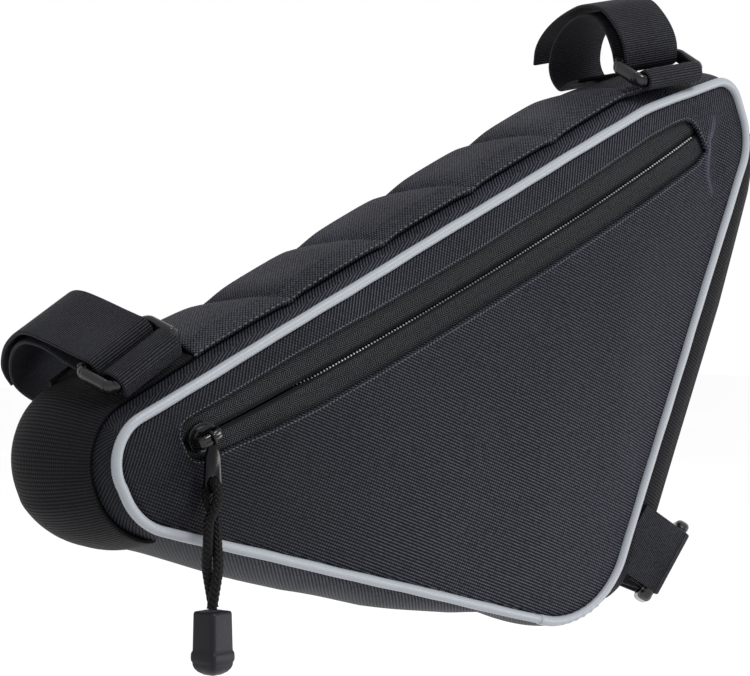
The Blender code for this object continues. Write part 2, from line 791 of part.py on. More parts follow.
def make_slider():
    height = slider_base_y - slider_top_y
    facing = Matrix.Translation((slider_x, (slider_base_y + slider_top_y) / 2, slider_z))
    facing = facing @ Matrix.Rotation(math.pi / 2, 4, "X")
    outline = rounded_rectangle(SLIDER_LENGTH, SLIDER_WIDTH, SLIDER_CORNER)
    body = flat("zip_slider", outline, height, "black metal", frame=facing)
    reach = SLIDER_LENGTH
    hollow = COIL_RADIUS + SLIDER_PLAY
    ends = [(slider_x - reach, coil_y, slider_z), (slider_x + reach, coil_y, slider_z)]
    channel = as_mesh(tube("channel cutter", ends, hollow, "black metal", sides=8), cutter=True)
    slot = bpy.data.objects.new("channel mouth cutter", box_mesh((reach * 2, hollow * 2, hollow * 2)))
    cutters.objects.link(slot)
    slot.hide_render = True
    slot.display_type = "WIRE"
    slot.parent = bag
    slot.matrix_local = Matrix.Translation((slider_x, coil_y + hollow, slider_z))
    half = BRIDGE_LENGTH / 2
    foot = slider_top_y + SLIDER_PLATE / 2
    turn = BRIDGE_RADIUS
    arch = [(-half, foot), (-half, pivot_y + turn), (turn - half, pivot_y)]
    arch += [(half - turn, pivot_y), (half, pivot_y + turn), (half, foot)]
    arch = [(slider_x + x, y, slider_z) for x, y in arch]
    bar = as_mesh(tube("bridge cutter", arch, BRIDGE_RADIUS, "black metal", sides=8), cutter=True)
    combine(body, channel, "DIFFERENCE")
    combine(body, slot, "DIFFERENCE")
    combine(body, bar, "UNION")
    return body


def box_mesh(size):
    mesh = bpy.data.meshes.new("box")
    work = bmesh.new()
    bmesh.ops.create_cube(work, size=1.0)
    bmesh.ops.scale(work, vec=size, verts=work.verts)
    work.to_mesh(mesh)
    work.free()
    return mesh


# The pull hangs straight down from the bridge, so its empty undoes the bag's turn
pull = bpy.data.objects.new("pull axis", None)
parts.objects.link(pull)
pull.parent = bag
pull.matrix_local = Matrix.Translation(pivot) @ Matrix.Rotation(TOP_EDGE_RISE, 4, "Y")


def make_pull_tab():
    """A flat metal tab with a round eye over the slider's bridge and a hole for the cord."""
    facing = Matrix.Rotation(math.pi / 2, 4, "X")
    top = -EYE_RADIUS
    half = TAB_WIDTH / 2
    low = -TAB_LENGTH
    neck = half * TAB_NECK
    shoulder = half * TAB_SHOULDER
    outline = [(-neck, top), (neck, top), (shoulder, top - TAB_NECK_LENGTH)]
    outline += [(x, low + half - z) for x, z in circle(half, 16)[:9]]
    outline.append((-shoulder, top - TAB_NECK_LENGTH))
    hole_z = low + half + HOLE_RAISE
    hole = [(x, hole_z + z) for x, z in circle(TAB_HOLE_RADIUS, 10)]
    tab = flat("pull_tab", outline, TAB_THICKNESS, "black metal", [hole], facing, pull)
    turned = Matrix.Rotation(-TOP_EDGE_RISE, 4, "Y")
    ring = [(0.0, y, z) for y, z in circle(EYE_RADIUS, 12)]
    eye = tube("eye cutter", ring, EYE_WIRE, "black metal", closed=True, frame=turned, parent=pull)
    eye = as_mesh(eye, cutter=True)
    combine(tab, eye, "UNION")
    return hole_z


def make_pull_cord(hole_z):
    """One doubled cord: up one strand, through the tab's hole and down the other, twisted."""
    top = hole_z + GAP
    bottom = top - PULL_CORD_LENGTH
    half = [Vector((0.0, y * CORD_LOOP_DEPTH, top + z * CORD_LOOP_DEPTH)) for y, z in CORD_BEND]
    drop_from = half[-1].z
    shares = [row["along"] for row in CORD_ROWS]
    turns = [row["turn"] for row in CORD_ROWS]
    depths = [row["depth"] for row in CORD_ROWS]
    for k in range(1, CORD_STEPS + 1):
        share = k / CORD_STEPS
        angle = math.radians(float(np.interp(share, shares, turns)))
        depth = float(np.interp(share, shares, depths)) * CORD_LOOP_DEPTH
        x = math.cos(angle) * CORD_SPREAD
        y = math.sin(angle) * depth
        half.append(Vector((x, y, drop_from + (bottom - drop_from) * share)))
    other = [Vector((-at.x, -at.y, at.z)) for at in half]
    tube("pull_cord", other[::-1] + half, PULL_CORD_RADIUS, "pull cord", parent=pull)
    return bottom


def make_pull_end(cord_end):
    """A square moulded end with an edge to the front, flared to a ridged base."""
    top = cord_end - GAP * 3
    rows = []
    for down, share in PULL_END_ROWS:
        z = top - PULL_END_HEIGHT * down
        width = PULL_END_BASE * share
        ring = rounded_rectangle(width, width, width * PULL_END_CORNER, steps=2)
        rows.append([(x, y, z) for x, y in ring])
    count = len(rows[0])
    verts = [point for row in rows for point in row]
    faces = []
    for i in range(len(rows) - 1):
        for j in range(count):
            k = (j + 1) % count
            faces.append((i * count + j, (i + 1) * count + j, (i + 1) * count + k, i * count + k))
    faces.append(tuple(range(count)))
    faces.append(tuple(reversed(range((len(rows) - 1) * count, len(rows) * count))))
    mesh = bpy.data.meshes.new("pull_end")
    mesh.from_pydata(verts, [], faces)
    turned = Matrix.Rotation(PULL_END_TURN, 4, "Z")
    place(bpy.data.objects.new("pull_end", mesh), "moulded rubber", frame=turned, parent=pull)


def strap_frame(strap):
    """Axes of one strap: along its width, to the back, and out from the bag."""
    run = corner_runs[strap["corner"]]
    if strap["corner"] == "nose_top":
        run = run_of_top(strap["run"])
    else:
        run += strap["run"]
    at = station_at(run)[0]
    out = Vector((at.out.x, 0.0, at.out.y))
    out.rotate(Matrix.Rotation(strap["turn"], 3, "Y"))
    back = Vector((0.0, 1.0, 0.0))
    back.rotate(Matrix.Rotation(strap["yaw"], 3, out))
    along = back.cross(out).normalized()
    frame = Matrix((along, back, out)).transposed().to_4x4()
    frame.translation = Vector((at.x, front_seam, at.z))
    return frame, run


def surface_out(frame, run, back):
    """How far out the gusset and its bands stand in a strap's plane at a place to the back."""
    rise = BAND_LIFT + max(BAND_THICKNESS, WEBBING_THICKNESS)
    highest = 0.0
    for k in range(9):
        here = run - STRAP_WIDTH / 2 + STRAP_WIDTH * k / 8
        near, far = seam_span(station_at(here)[0].z)
        share = min(1.0, max(0.0, (front_seam + back - near) / (far - near)))
        point = frame.inverted() @ on_gusset(here, share, rise)
        highest = max(highest, point.z)
    return highest


def clear_out(frame, run, back):
    """The middle of a layer of webbing lying on the gusset at a place to the back."""
    reach = STRAP_THICKNESS * 2
    highest = max(surface_out(frame, run, back + aside) for aside in (-reach, 0.0, reach))
    return highest + GAP + STRAP_THICKNESS / 2


def smooth_path(points, steps):
    """A smooth line through the points, with several steps in each span."""
    points = [np.array(p, dtype=float) for p in points]
    ends = [2 * points[0] - points[1], *points, 2 * points[-1] - points[-2]]
    path = []
    for i in range(1, len(ends) - 2):
        a, b, c, d = ends[i - 1:i + 3]
        for step in range(steps):
            t = step / steps
            path.append(0.5 * (2 * b + (c - a) * t + (2 * a - 5 * b + 4 * c - d) * t ** 2
                               + (3 * b - a - 3 * c + d) * t ** 3))
    path.append(ends[-2])
    return [tuple(float(v) for v in p) for p in path]


def ribbon(name, path, frame):
    """Flat webbing along a path in a strap's plane."""
    half = STRAP_WIDTH / 2
    rows = [[(-half, back, out), (half, back, out)] for back, out in path]
    return sheet(name, rows, "webbing", STRAP_THICKNESS, centred=True, frame=frame)


def tangent(centre, radius, point, side):
    """Angle on a circle of the line that leaves it for a point, on one side or the other."""
    away = Vector(point) - centre
    return math.atan2(away.y, away.x) + side * math.acos(min(1.0, radius / away.length))


def wound(centre, radius, first, last):
    """Points round part of a circle, clockwise from one angle to the other."""
    while last > first:
        last -= 2 * math.pi
    points = []
    for k in range(ROLL_STEPS + 1):
        angle = first + (last - first) * k / ROLL_STEPS
        points.append((centre.x + radius * math.cos(angle), centre.y + radius * math.sin(angle)))
    return points


def make_strap(side, strap):
    frame, run = strap_frame(strap)
    reach, rise = strap["reach"], strap["rise"]
    span = RING_WIDTH / 2 - RING_WIRE_RADIUS
    tilt = strap["ring_tilt"]
    middle = Vector((strap["ring_back"], strap["ring_out"]))
    lean = Vector((math.cos(tilt), math.sin(tilt)))
    front_bar = middle - lean * span
    back_bar = middle + lean * span
    wrap = RING_WIRE_RADIUS + GAP + STRAP_THICKNESS / 2 + GAP

    sewn = []
    for back, out in strap["sewn"]:
        back = back * reach
        if out is None:
            out = clear_out(frame, run, back) / rise
        sewn.append((back, out * rise))
    folded = [(back * reach, out * rise) for back, out in strap["folded"]]
    arrive = tangent(back_bar, wrap, sewn[-1], -1)
    leave = tangent(back_bar, wrap, folded[0], 1)
    path = smooth_path(sewn, 2) + wound(back_bar, wrap, arrive, leave) + smooth_path(folded, 2)
    ribbon(side + "_strap", path, frame)

    ring_frame = frame @ Matrix.Translation((0.0, middle.x, middle.y)) @ Matrix.Rotation(tilt, 4, "X")
    long = RING_LENGTH - 2 * RING_WIRE_RADIUS
    wide = RING_WIDTH - 2 * RING_WIRE_RADIUS
    outline = [(x, y, 0.0) for x, y in rounded_rectangle(long, wide, RING_CORNER, steps=3)]
    tube(side + "_ring", outline, RING_WIRE_RADIUS, "gloss plastic", closed=True, frame=ring_frame)

    front_leg = max(front_bar.x - wrap * FRONT_LEG, BEAD_RADIUS * LEG_PAST_BEAD)
    back_leg = max(front_bar.x + wrap * BACK_LEG, front_leg + STRAP_THICKNESS * 2)
    legs = [(back, clear_out(frame, run, back)) for back in (front_leg, back_leg)]
    arrive = tangent(front_bar, wrap, legs[0], -1) + 2 * math.pi
    roll = wound(front_bar, wrap, arrive, tangent(front_bar, wrap, legs[1], 1))
    ribbon(side + "_ring_tab", [legs[0], *roll, legs[1]], frame)


make_gusset()
make_front_panel()
make_back_panel()
make_piping()
make_top_band()
make_nose_webbing()
make_side_webbing()
make_zip()
make_slider()
make_pull_end(make_pull_cord(make_pull_tab()))
for side, strap in STRAPS.items():
    make_strap(side, strap)
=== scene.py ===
import math

import bmesh
import bpy
import numpy as np
from mathutils import Matrix, Vector
from mathutils.geometry import delaunay_2d_cdt


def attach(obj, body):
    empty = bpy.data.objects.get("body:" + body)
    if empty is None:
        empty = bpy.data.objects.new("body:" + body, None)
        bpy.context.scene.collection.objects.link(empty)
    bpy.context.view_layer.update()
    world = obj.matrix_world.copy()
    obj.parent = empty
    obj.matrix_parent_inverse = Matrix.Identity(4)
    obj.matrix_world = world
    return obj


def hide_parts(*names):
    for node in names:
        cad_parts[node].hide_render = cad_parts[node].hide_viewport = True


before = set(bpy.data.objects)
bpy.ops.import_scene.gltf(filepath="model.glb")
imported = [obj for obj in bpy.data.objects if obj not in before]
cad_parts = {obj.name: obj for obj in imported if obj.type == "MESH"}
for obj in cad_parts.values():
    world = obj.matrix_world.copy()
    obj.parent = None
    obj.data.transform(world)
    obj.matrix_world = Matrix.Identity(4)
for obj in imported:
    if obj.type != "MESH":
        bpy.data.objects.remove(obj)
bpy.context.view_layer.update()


# The camera stands to the nose's side of the bag, level with it and 0.8 m away, so the
# front panel is seen at a slant with the top band and the nose beside it.
CAMERA_PLACE = (-0.52626, -0.63093, -0.04353)
CAMERA_TURN = (88.391, -0.016, -40.144)
CAMERA_LENS = 115.2


def placed(name, data):
    """An object with a mesh, a light or a camera, in the scene."""
    made = bpy.data.objects.new(name, data)
    bpy.context.scene.collection.objects.link(made)
    return made


camera = placed("camera", bpy.data.cameras.new("camera"))
camera.data.lens = CAMERA_LENS
camera.location = CAMERA_PLACE
camera.rotation_euler = [math.radians(angle) for angle in CAMERA_TURN]
bpy.context.scene.camera = camera


# Pull cord. A round braided cord, black nylon, goes up through the hole of the metal tab
# and down again. Its strands cross once and both ends sit in the moulded pull end.
HINGE = np.array((-0.08794, -0.03339, -0.09513))
CORD_WIDTH = 0.0034
CORD_TOP = -0.0136
CORD_FALL = 0.0392
CORD_SPREAD = 0.0017
CORD_DEPTH = 0.00275
BEND_ANGLES = (14, 42, 70)
BRAID_PITCH = 0.0017
BRAID_COLUMNS = 8
BRAID_SKEW = 0.9
BRAID_RISE = 0.00044
# Share of the way down, angle between the strands and depth, as a share of the bend's
STRAND_ROWS = [
    (0.00, 90, 1.00), (0.08, 86, 1.00), (0.26, 12, 0.80),
    (0.50, -5, 0.70), (0.78, -90, 0.66), (1.00, -135, 0.62),
]
CORD_BLACK = (0.0006, 0.0006, 0.0008)
CORD_WORN = (0.005, 0.005, 0.006)


class Tone:
    """A number that varies over a surface. Sums and products of it add Math nodes."""

    def __init__(self, finish, socket):
        self.finish = finish
        self.socket = socket

    def maths(self, operation, *values):
        return self.finish.node("ShaderNodeMath", {"operation": operation}, values)

    def __add__(self, other):
        return self.maths("ADD", self, other)

    def __sub__(self, other):
        return self.maths("SUBTRACT", self, other)

    def __rsub__(self, other):
        return self.maths("SUBTRACT", other, self)

    def __mul__(self, other):
        return self.maths("MULTIPLY", self, other)

    def __truediv__(self, other):
        return self.maths("DIVIDE", self, other)

    def __gt__(self, other):
        return self.maths("GREATER_THAN", self, other)

    def __lt__(self, other):
        return self.maths("LESS_THAN", self, other)

    def __mod__(self, other):
        return self.maths("FLOORED_MODULO", self, other)

    def __abs__(self):
        return self.maths("ABSOLUTE", self)

    __radd__ = __add__
    __rmul__ = __mul__

    def wave(self, pitch):
        """A sine that repeats with a pitch in metres."""
        return self.maths("SINE", self * (2 * math.pi / pitch))

    def rib(self, pitch):
        """Round ridges with narrow valleys between them, from 0 to 1."""
        return abs(self.maths("SINE", self * (math.pi / pitch)))

    def ramp(self, low, high):
        """0 below low and 1 above high, with a smooth rise between."""
        return self.finish.node("ShaderNodeMapRange", {"interpolation_type": "SMOOTHSTEP"},
                                (self, low, high, 0.0, 1.0))


class Finish:
    """One material. Its patterns come from Object coordinates or the cloth's own metres."""

    def __init__(self, name, roughness, **sockets):
        self.material = bpy.data.materials.new(name)
        self.material.use_nodes = True
        self.tree = self.material.node_tree
        self.shader = self.tree.nodes["Principled BSDF"]
        self.shader.inputs["Roughness"].default_value = roughness
        for socket, value in sockets.items():
            self.shader.inputs[socket.replace("_", " ")].default_value = value

    def node(self, kind, settings, values, out=0):
        made = self.tree.nodes.new(kind)
        for setting, value in settings.items():
            setattr(made, setting, value)
        for socket, value in values.items() if isinstance(values, dict) else enumerate(values):
            self.feed(made.inputs[socket], value)
        return Tone(self, made.outputs[out])

    def feed(self, socket, value):
        if isinstance(value, Tone):
            self.tree.links.new(value.socket, socket)
        else:
            socket.default_value = value

    def metres(self):
        """Distance along and across the piece, from its own UV map."""
        place = self.node("ShaderNodeUVMap", {"uv_map": "metres"}, ())
        return [self.node("ShaderNodeSeparateXYZ", {}, (place,), out) for out in (0, 1)]

    def speckle(self, scale, detail=2.0, roughness=0.5):
        place = self.node("ShaderNodeTexCoord", {}, (), 3)
        return self.node("ShaderNodeTexNoise", {}, {"Vector": place, "Scale": scale, "Detail": detail,
                                                    "Roughness": roughness})

    def colour(self, share, first, second):
        """A base colour from the first to the second, as red, green and blue."""
        mixed = self.node("ShaderNodeMix", {"data_type": "RGBA"},
                          {0: share, 6: (*first, 1.0), 7: (*second, 1.0)}, 2)
        self.feed(self.shader.inputs["Base Color"], mixed)

    def rough(self, value):
        self.feed(self.shader.inputs["Roughness"], value)

    def relief(self, height, depth):
        """Bumps of a depth in metres where the height goes from 0 to 1."""
        bump = self.node("ShaderNodeBump", {}, {"Strength": 1.0, "Distance": depth, "Height": height})
        self.feed(self.shader.inputs["Normal"], bump)


def lengths(path, loop=False):
    """Distance along a line of points at each of them, with the way back if it is a loop."""
    path = np.asarray(path, dtype=float)
    if loop:
        path = np.concatenate([path, path[:1]])
    return np.concatenate([[0.0], np.cumsum(np.linalg.norm(np.diff(path, axis=0), axis=1))])


def smooth(points, steps):
    """A smooth line through the points, with several steps in each span."""
    points = [np.array(point, dtype=float) for point in points]
    ends = [2 * points[0] - points[1], *points, 2 * points[-1] - points[-2]]
    line = []
    for a, b, c, d in zip(ends, ends[1:], ends[2:], ends[3:]):
        for step in range(steps):
            t = step / steps
            line.append(0.5 * (2 * b + (c - a) * t + (2 * a - 5 * b + 4 * c - d) * t ** 2
                               + (3 * b - a - 3 * c + d) * t ** 3))
    line.append(points[-1])
    return np.array(line)


def skin(name, rows, finish, ring=False, loop=False, heart=None):
    """A mesh through rows of points, with metres along and across it as its UV map. A ring
    closes across, a loop closes along, and a sheet faces away from its heart."""
    rows = np.asarray(rows, dtype=float)
    count, wide = rows.shape[:2]
    across = np.concatenate([rows, rows[:, :1]], axis=1) if ring else rows
    v = np.cumsum(np.linalg.norm(np.diff(across, axis=1, prepend=across[:, :1]), axis=2), axis=1)
    u = lengths(rows.mean(axis=1), loop)
    faces, corners = [], []
    for i in range(count if loop else count - 1):
        k = (i + 1) % count
        for j in range(wide if ring else wide - 1):
            m = (j + 1) % wide
            faces.append((i * wide + j, k * wide + j, k * wide + m, i * wide + m))
            corners += [(u[i], v[i, j]), (u[i + 1], v[k, j]),
                        (u[i + 1], v[k, j + 1]), (u[i], v[i, j + 1])]
    if ring and not loop:
        for row in (0, count - 1):
            faces.append(tuple(row * wide + j for j in range(wide)))
            corners += [(u[row], v[row, j]) for j in range(wide)]
    return piece(name, rows.reshape(-1, 3), faces, corners, finish, heart)


def piece(name, points, faces, corners, finish, heart=None):
    """One mesh object at the origin, its faces turned outwards or away from its heart."""
    mesh = bpy.data.meshes.new(name)
    mesh.from_pydata([tuple(point) for point in points], [], faces)
    if corners:
        layer = mesh.uv_layers.new(name="metres")
        layer.data.foreach_set("uv", np.array(corners, dtype=np.float32).ravel())
    work = bmesh.new()
    work.from_mesh(mesh)
    if heart is None:
        bmesh.ops.recalc_face_normals(work, faces=work.faces)
    else:
        heart = Vector(heart)
        away = [f.normal.dot(f.calc_center_median() - heart) * f.calc_area() for f in work.faces]
        if sum(away) < 0:
            bmesh.ops.reverse_faces(work, faces=work.faces)
    work.to_mesh(mesh)
    work.free()
    mesh.shade_smooth()
    mesh.materials.append(finish.material)
    return placed(name, mesh)


def fitted(made, body, node):
    """Puts a finished piece on its body, in the place of its solid."""
    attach(made, body)
    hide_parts(node)


def ahead_of(path, loop=False):
    """The direction of a line or a loop at each of its points."""
    steps = np.gradient(path, axis=0)
    if loop:
        steps = np.roll(path, -1, axis=0) - np.roll(path, 1, axis=0)
    return steps / np.linalg.norm(steps, axis=1)[:, None]


def tube(name, path, radius, finish, sides=16, loop=False, side=(0.31, 0.87, 0.39)):
    """A bead, bar or cord along a path. The radius may vary along it and round it, from a
    direction that the first side is nearest to."""
    sections = []
    angles = np.linspace(0.0, 2 * math.pi, sides, endpoint=False)
    radius = np.broadcast_to(radius, (len(path), sides))
    for at, tangent, reach in zip(path, ahead_of(path, loop), radius):
        side = side - tangent * np.dot(side, tangent)
        side /= np.linalg.norm(side)
        round_it = np.cos(angles)[:, None] * side + np.sin(angles)[:, None] * np.cross(tangent, side)
        sections.append(at + reach[:, None] * round_it)
    return skin(name, sections, finish, ring=True, loop=loop)


def strand_path():
    """One strand from the middle of the bend down to its end, and the other in return."""
    half = []
    for angle in np.radians(BEND_ANGLES):
        half.append((0.0, math.sin(angle) * CORD_DEPTH, CORD_TOP - (1 - math.cos(angle)) * CORD_DEPTH))
    start = CORD_TOP - CORD_DEPTH
    shares, turns, depths = zip(*STRAND_ROWS)
    for share in np.linspace(0.0, 1.0, 13):
        turn = math.radians(np.interp(share, shares, turns))
        depth = np.interp(share, shares, depths) * CORD_DEPTH
        half.append((math.cos(turn) * CORD_SPREAD, math.sin(turn) * depth,
                     start - (CORD_FALL - CORD_DEPTH) * share))
    other = [(-x, -y, z) for x, y, z in half]
    return smooth(other[::-1] + half, 12) + HINGE


cord_finish = Finish("braided black cord", 0.48, Specular_IOR_Level=0.10)
along, around = cord_finish.metres()
column = around * (BRAID_COLUMNS / (math.pi * CORD_WIDTH))
plait = (along / BRAID_PITCH + abs(column % 2.0 - 1.0) * BRAID_SKEW).rib(1.0)
fuzz = cord_finish.speckle(3000.0)
cord_finish.colour(plait * fuzz, CORD_BLACK, CORD_WORN)
cord_finish.relief(plait * 0.7 + fuzz * 0.3, 0.0002)

cord_path = strand_path()
cord_run = lengths(cord_path)
columns = np.linspace(0.0, BRAID_COLUMNS, 32, endpoint=False)
turns = cord_run[:, None] / BRAID_PITCH + BRAID_SKEW * np.abs(columns % 2.0 - 1.0)
braid = np.abs(np.sin(math.pi * turns))
cord_radius = CORD_WIDTH / 2 - BRAID_RISE * (1 - braid)
pull_cord = tube("pull_cord_braid", cord_path, cord_radius, cord_finish, sides=32)
fitted(pull_cord, "pull", "pull_cord")


# Front panel. One piece of dark oxford cloth with a plain weave, sewn into the piping all
# round, with a long window folded back and stitched down along both sides of the zip.
RISE = math.radians(25)
TOP_SEAM = -0.03395
NOSE = -0.1519
TOP_RUN = 0.3079
FRONT = -0.026
DEPTH_TOP = 0.052
DEPTH_LOW = 0.034
LOW_POINT = (0.00711, -0.19497)
OUTLINE = [
    ("nose_top", NOSE, TOP_SEAM, 0.015),
    ("shoulder", NOSE + TOP_RUN - 0.0465, TOP_SEAM, 0.080),
    ("tip_top", NOSE + TOP_RUN, TOP_SEAM - 0.007, 0.009),
    ("tip_low", NOSE + TOP_RUN, TOP_SEAM - 0.0325, 0.022),
    ("low", *LOW_POINT, 0.034),
    ("nose_low", NOSE, TOP_SEAM - 0.029, 0.022),
]
SEAM_STEP = 0.0006
CLOTH = 0.0012
DOME = 0.008
DOME_POWER = 2.4
ZIP_START = 0.0258
ZIP_LENGTH = 0.2607
ZIP_HALF = 0.0085
HEM_ROLL = 0.0013
# Share of the zip's length, and the window's reach above and below as shares of its half
WINDOW_ROWS = [
    (0.000, 0.30, 0.30), (0.002, 0.52, 0.52), (0.006, 0.66, 0.66), (0.014, 0.75, 0.75),
    (0.190, 1.00, 1.00), (0.500, 1.00, 1.00), (0.880, 1.06, 1.02), (0.934, 0.94, 1.06),
    (0.956, 0.82, 1.07), (0.965, 0.74, 0.99), (0.971, 0.58, 0.95), (0.976, 0.20, 0.92),
    (0.979, -0.30, 0.90), (0.981, -0.84, 0.88),
]
PANEL_IN = 0.0014
WEAVE_TURN = -0.052
OXFORD_PITCH = 0.00145
CLOTH_DARK = (0.0008, 0.0009, 0.0020)
CLOTH_LIGHT = (0.046, 0.048, 0.066)
# Soft folds of the panel: two ends in the bag's own X and Z, half width and height
PANEL_FOLDS = [
    ((0.1430, -0.0550), (0.1330, -0.0700), 0.0040, -0.0018),
    ((0.1330, -0.0440), (0.1420, -0.0430), 0.0030, -0.0008),
    ((0.1300, -0.0640), (0.1180, -0.1000), 0.0080, -0.0008),
    ((-0.1250, -0.0480), (-0.1380, -0.0560), 0.0050, -0.0007),
    ((-0.1000, -0.0800), (-0.0500, -0.1200), 0.0120, 0.0010),
    ((-0.0200, -0.0900), (0.0200, -0.1600), 0.0150, -0.0009),
    ((0.0700, -0.0800), (0.0450, -0.1400), 0.0130, 0.0008),
    ((-0.1180, -0.0420), (-0.1080, -0.0560), 0.0060, -0.0012),
]
# A crisp fold that runs down past the window's end
RIDGE_LINE = [
    (0.1400, -0.0490), (0.1384, -0.0517), (0.1361, -0.0539), (0.1325, -0.0564), (0.1310, -0.0598),
    (0.1277, -0.0644), (0.1261, -0.0678), (0.1258, -0.0725), (0.1263, -0.0767),
]
RIDGE_WIDE = 0.0013
RIDGE_TALL = 0.0014
RIPPLE = 0.00035
PANEL_GRID = 0.0016
GRID_REACH = 0.985
# Lines of mesh points beside the window's edge and the crisp fold, and the fold's bare margin
HEM_LINES = (0.0004, 0.0008, 0.0013)
RIDGE_LINES = (-0.0021, -0.0014, -0.0007, 0.0, 0.0007, 0.0014, 0.0021)
RIDGE_MARGIN = 0.0024


def laid(points):
    """From the bag's own axes, along its top edge, to the frame, where that edge rises."""
    cos, sin = math.cos(RISE), math.sin(RISE)
    return np.asarray(points, dtype=float) @ np.array(((cos, 0, sin), (0, 1, 0), (-sin, 0, cos)))


def trace_seam():
    """X, Z, outward X and Z, and run of close points round the front seam, and corner runs."""
    corners = [Vector((x, z)) for _, x, z, _ in OUTLINE]
    arcs = []
    for i, corner in enumerate(corners):
        before = (corners[i - 1] - corner).normalized()
        after = (corners[(i + 1) % len(corners)] - corner).normalized()
        inside = before.angle(after)
        radius = OUTLINE[i][3]
        leg = radius / math.tan(inside / 2)
        centre = corner + (before + after).normalized() * radius / math.sin(inside / 2)
        arcs.append((corner + before * leg, corner + after * leg, centre, math.pi - inside, radius))
    rows, runs, run = [], {}, 0.0
    for i, (start, end, centre, turn, radius) in enumerate(arcs):
        first = math.atan2(*(start - centre).yx)
        steps = max(4, math.ceil(radius * turn / SEAM_STEP))
        for step in range(steps):
            angle = first - turn * step / steps
            out = Vector((math.cos(angle), math.sin(angle)))
            rows.append((*(centre + out * radius), *out, run + radius * turn * step / steps))
        runs[OUTLINE[i][0]] = run + radius * turn / 2
        run += radius * turn
        following = arcs[(i + 1) % len(arcs)][0]
        out = (end - centre).normalized()
        length = (following - end).length
        steps = math.ceil(length / SEAM_STEP)
        for step in range(steps):
            rows.append((*end.lerp(following, step / steps), *out, run + length * step / steps))
        run += length
    return np.array(rows), runs, run


seam_table, corner_runs, perimeter = trace_seam()


def seam_at(run):
    """X, Z and the outward direction at runs along the front seam."""
    run = np.asarray(run, dtype=float) % perimeter
    columns = [np.interp(run, seam_table[:, 4], seam_table[:, k], period=perimeter) for k in range(4)]
    size = np.hypot(columns[2], columns[3])
    return columns[0], columns[1], columns[2] / size, columns[3] / size


MIDDLE = (NOSE + TOP_RUN * 0.5, TOP_SEAM - (TOP_SEAM - LOW_POINT[1]) * 0.33)


def edge_share(x, z, inset):
    """How far points are from the panel's middle to its edge, from 0 to 1."""
    edge_x = seam_table[:, 0] + seam_table[:, 2] * inset - MIDDLE[0]
    edge_z = seam_table[:, 1] + seam_table[:, 3] * inset - MIDDLE[1]
    angles = np.arctan2(edge_z, edge_x)
    reach = np.interp(np.arctan2(z - MIDDLE[1], x - MIDDLE[0]), angles, np.hypot(edge_x, edge_z),
                      period=2 * math.pi)
    return np.hypot(x - MIDDLE[0], z - MIDDLE[1]) / reach


def dome(x, z, inset=-PANEL_IN):
    """How far a filled panel stands out of its seam, and how free it is of the seam's pull."""
    share = np.clip(edge_share(x, z, inset), 0, 1)
    return DOME * (1 - share ** DOME_POWER), np.clip((1 - share) * 6, 0, 1)


def depth_at(z):
    """The bag's depth from seam to seam at a height."""
    share = np.clip((TOP_SEAM - z) / (TOP_SEAM - LOW_POINT[1]), 0, 1)
    return DEPTH_TOP + (DEPTH_LOW - DEPTH_TOP) * share


def even_runs(step):
    """Runs at equal steps once round the front seam."""
    runs = np.arange(0.0, perimeter, step)
    return runs * perimeter / (runs[-1] + step)


def zip_centre(along):
    """X and Z of the zip's line at shares of its length."""
    x = NOSE + ZIP_START + ZIP_LENGTH * along
    return x, TOP_SEAM - (0.0147 + 0.0031 * along + 0.014 * along * (1 - along))


def window_reach(along):
    """How far the window's edge is above and below the zip's line."""
    places, up, down = zip(*WINDOW_ROWS)
    return ZIP_HALF * np.interp(along, places, up), ZIP_HALF * np.interp(along, places, down)


def beside(line, loop=False):
    """The direction to the left of a flat line at each of its points."""
    return ahead_of(line, loop)[:, ::-1] * (-1, 1)


def window_line(aside, step=0.0012):
    """Points round the zip's window, a little outside its edge."""
    alongs = np.concatenate([np.arange(0, WINDOW_ROWS[-1][0], 0.004), [row[0] for row in WINDOW_ROWS]])
    alongs = np.unique(alongs)
    x, z = zip_centre(alongs)
    up, down = window_reach(alongs)
    line = np.concatenate([np.stack([x, z + up], axis=1), np.stack([x, z - down], axis=1)[::-1]])
    run = lengths(line, loop=True)
    closed = np.concatenate([line, line[:1]])
    even = np.linspace(0, run[-1], round(run[-1] / step), endpoint=False)
    line = np.stack([np.interp(even, run, closed[:, k]) for k in (0, 1)], axis=1)
    return line + beside(line, loop=True) * aside


def far_from(line, x, z):
    """Distance of points from the nearest of a line's points."""
    place = np.stack([x, z], axis=-1)
    nearest = [np.min(np.hypot(*(line - each).T)) for each in place.reshape(-1, 2)]
    return np.array(nearest).reshape(x.shape)


def folds(x, z, rows):
    """Height of soft folds, each a ridge or valley between two ends."""
    total = np.zeros_like(x)
    for (ax, az), (bx, bz), width, height in rows:
        ex, ez = bx - ax, bz - az
        share = np.clip(((x - ax) * ex + (z - az) * ez) / (ex * ex + ez * ez), 0, 1)
        square = (x - ax - ex * share) ** 2 + (z - az - ez * share) ** 2
        total += height * np.exp(-square / width ** 2)
    return total


ridge_path = smooth(RIDGE_LINE, 6)


def ridge(x, z):
    """The crisp fold's share of its full height, from 0 to 1."""
    gaps = np.hypot(x.ravel()[:, None] - ridge_path[:, 0], z.ravel()[:, None] - ridge_path[:, 1])
    run = gaps.argmin(axis=1) / (len(ridge_path) - 1)
    share = np.exp(-(gaps.min(axis=1) / RIDGE_WIDE) ** 2) * np.sin(math.pi * run) ** 0.6
    return share.reshape(x.shape)


def ripple(x, z):
    """Slow waviness of cloth that isn't stretched."""
    return (0.5 * np.sin(x * 61 + 1.3) * np.sin(z * 83 + 0.4) + 0.3 * np.sin(x * 133 - z * 97 + 2.0)
            + 0.2 * np.sin(x * 211 + z * 187))


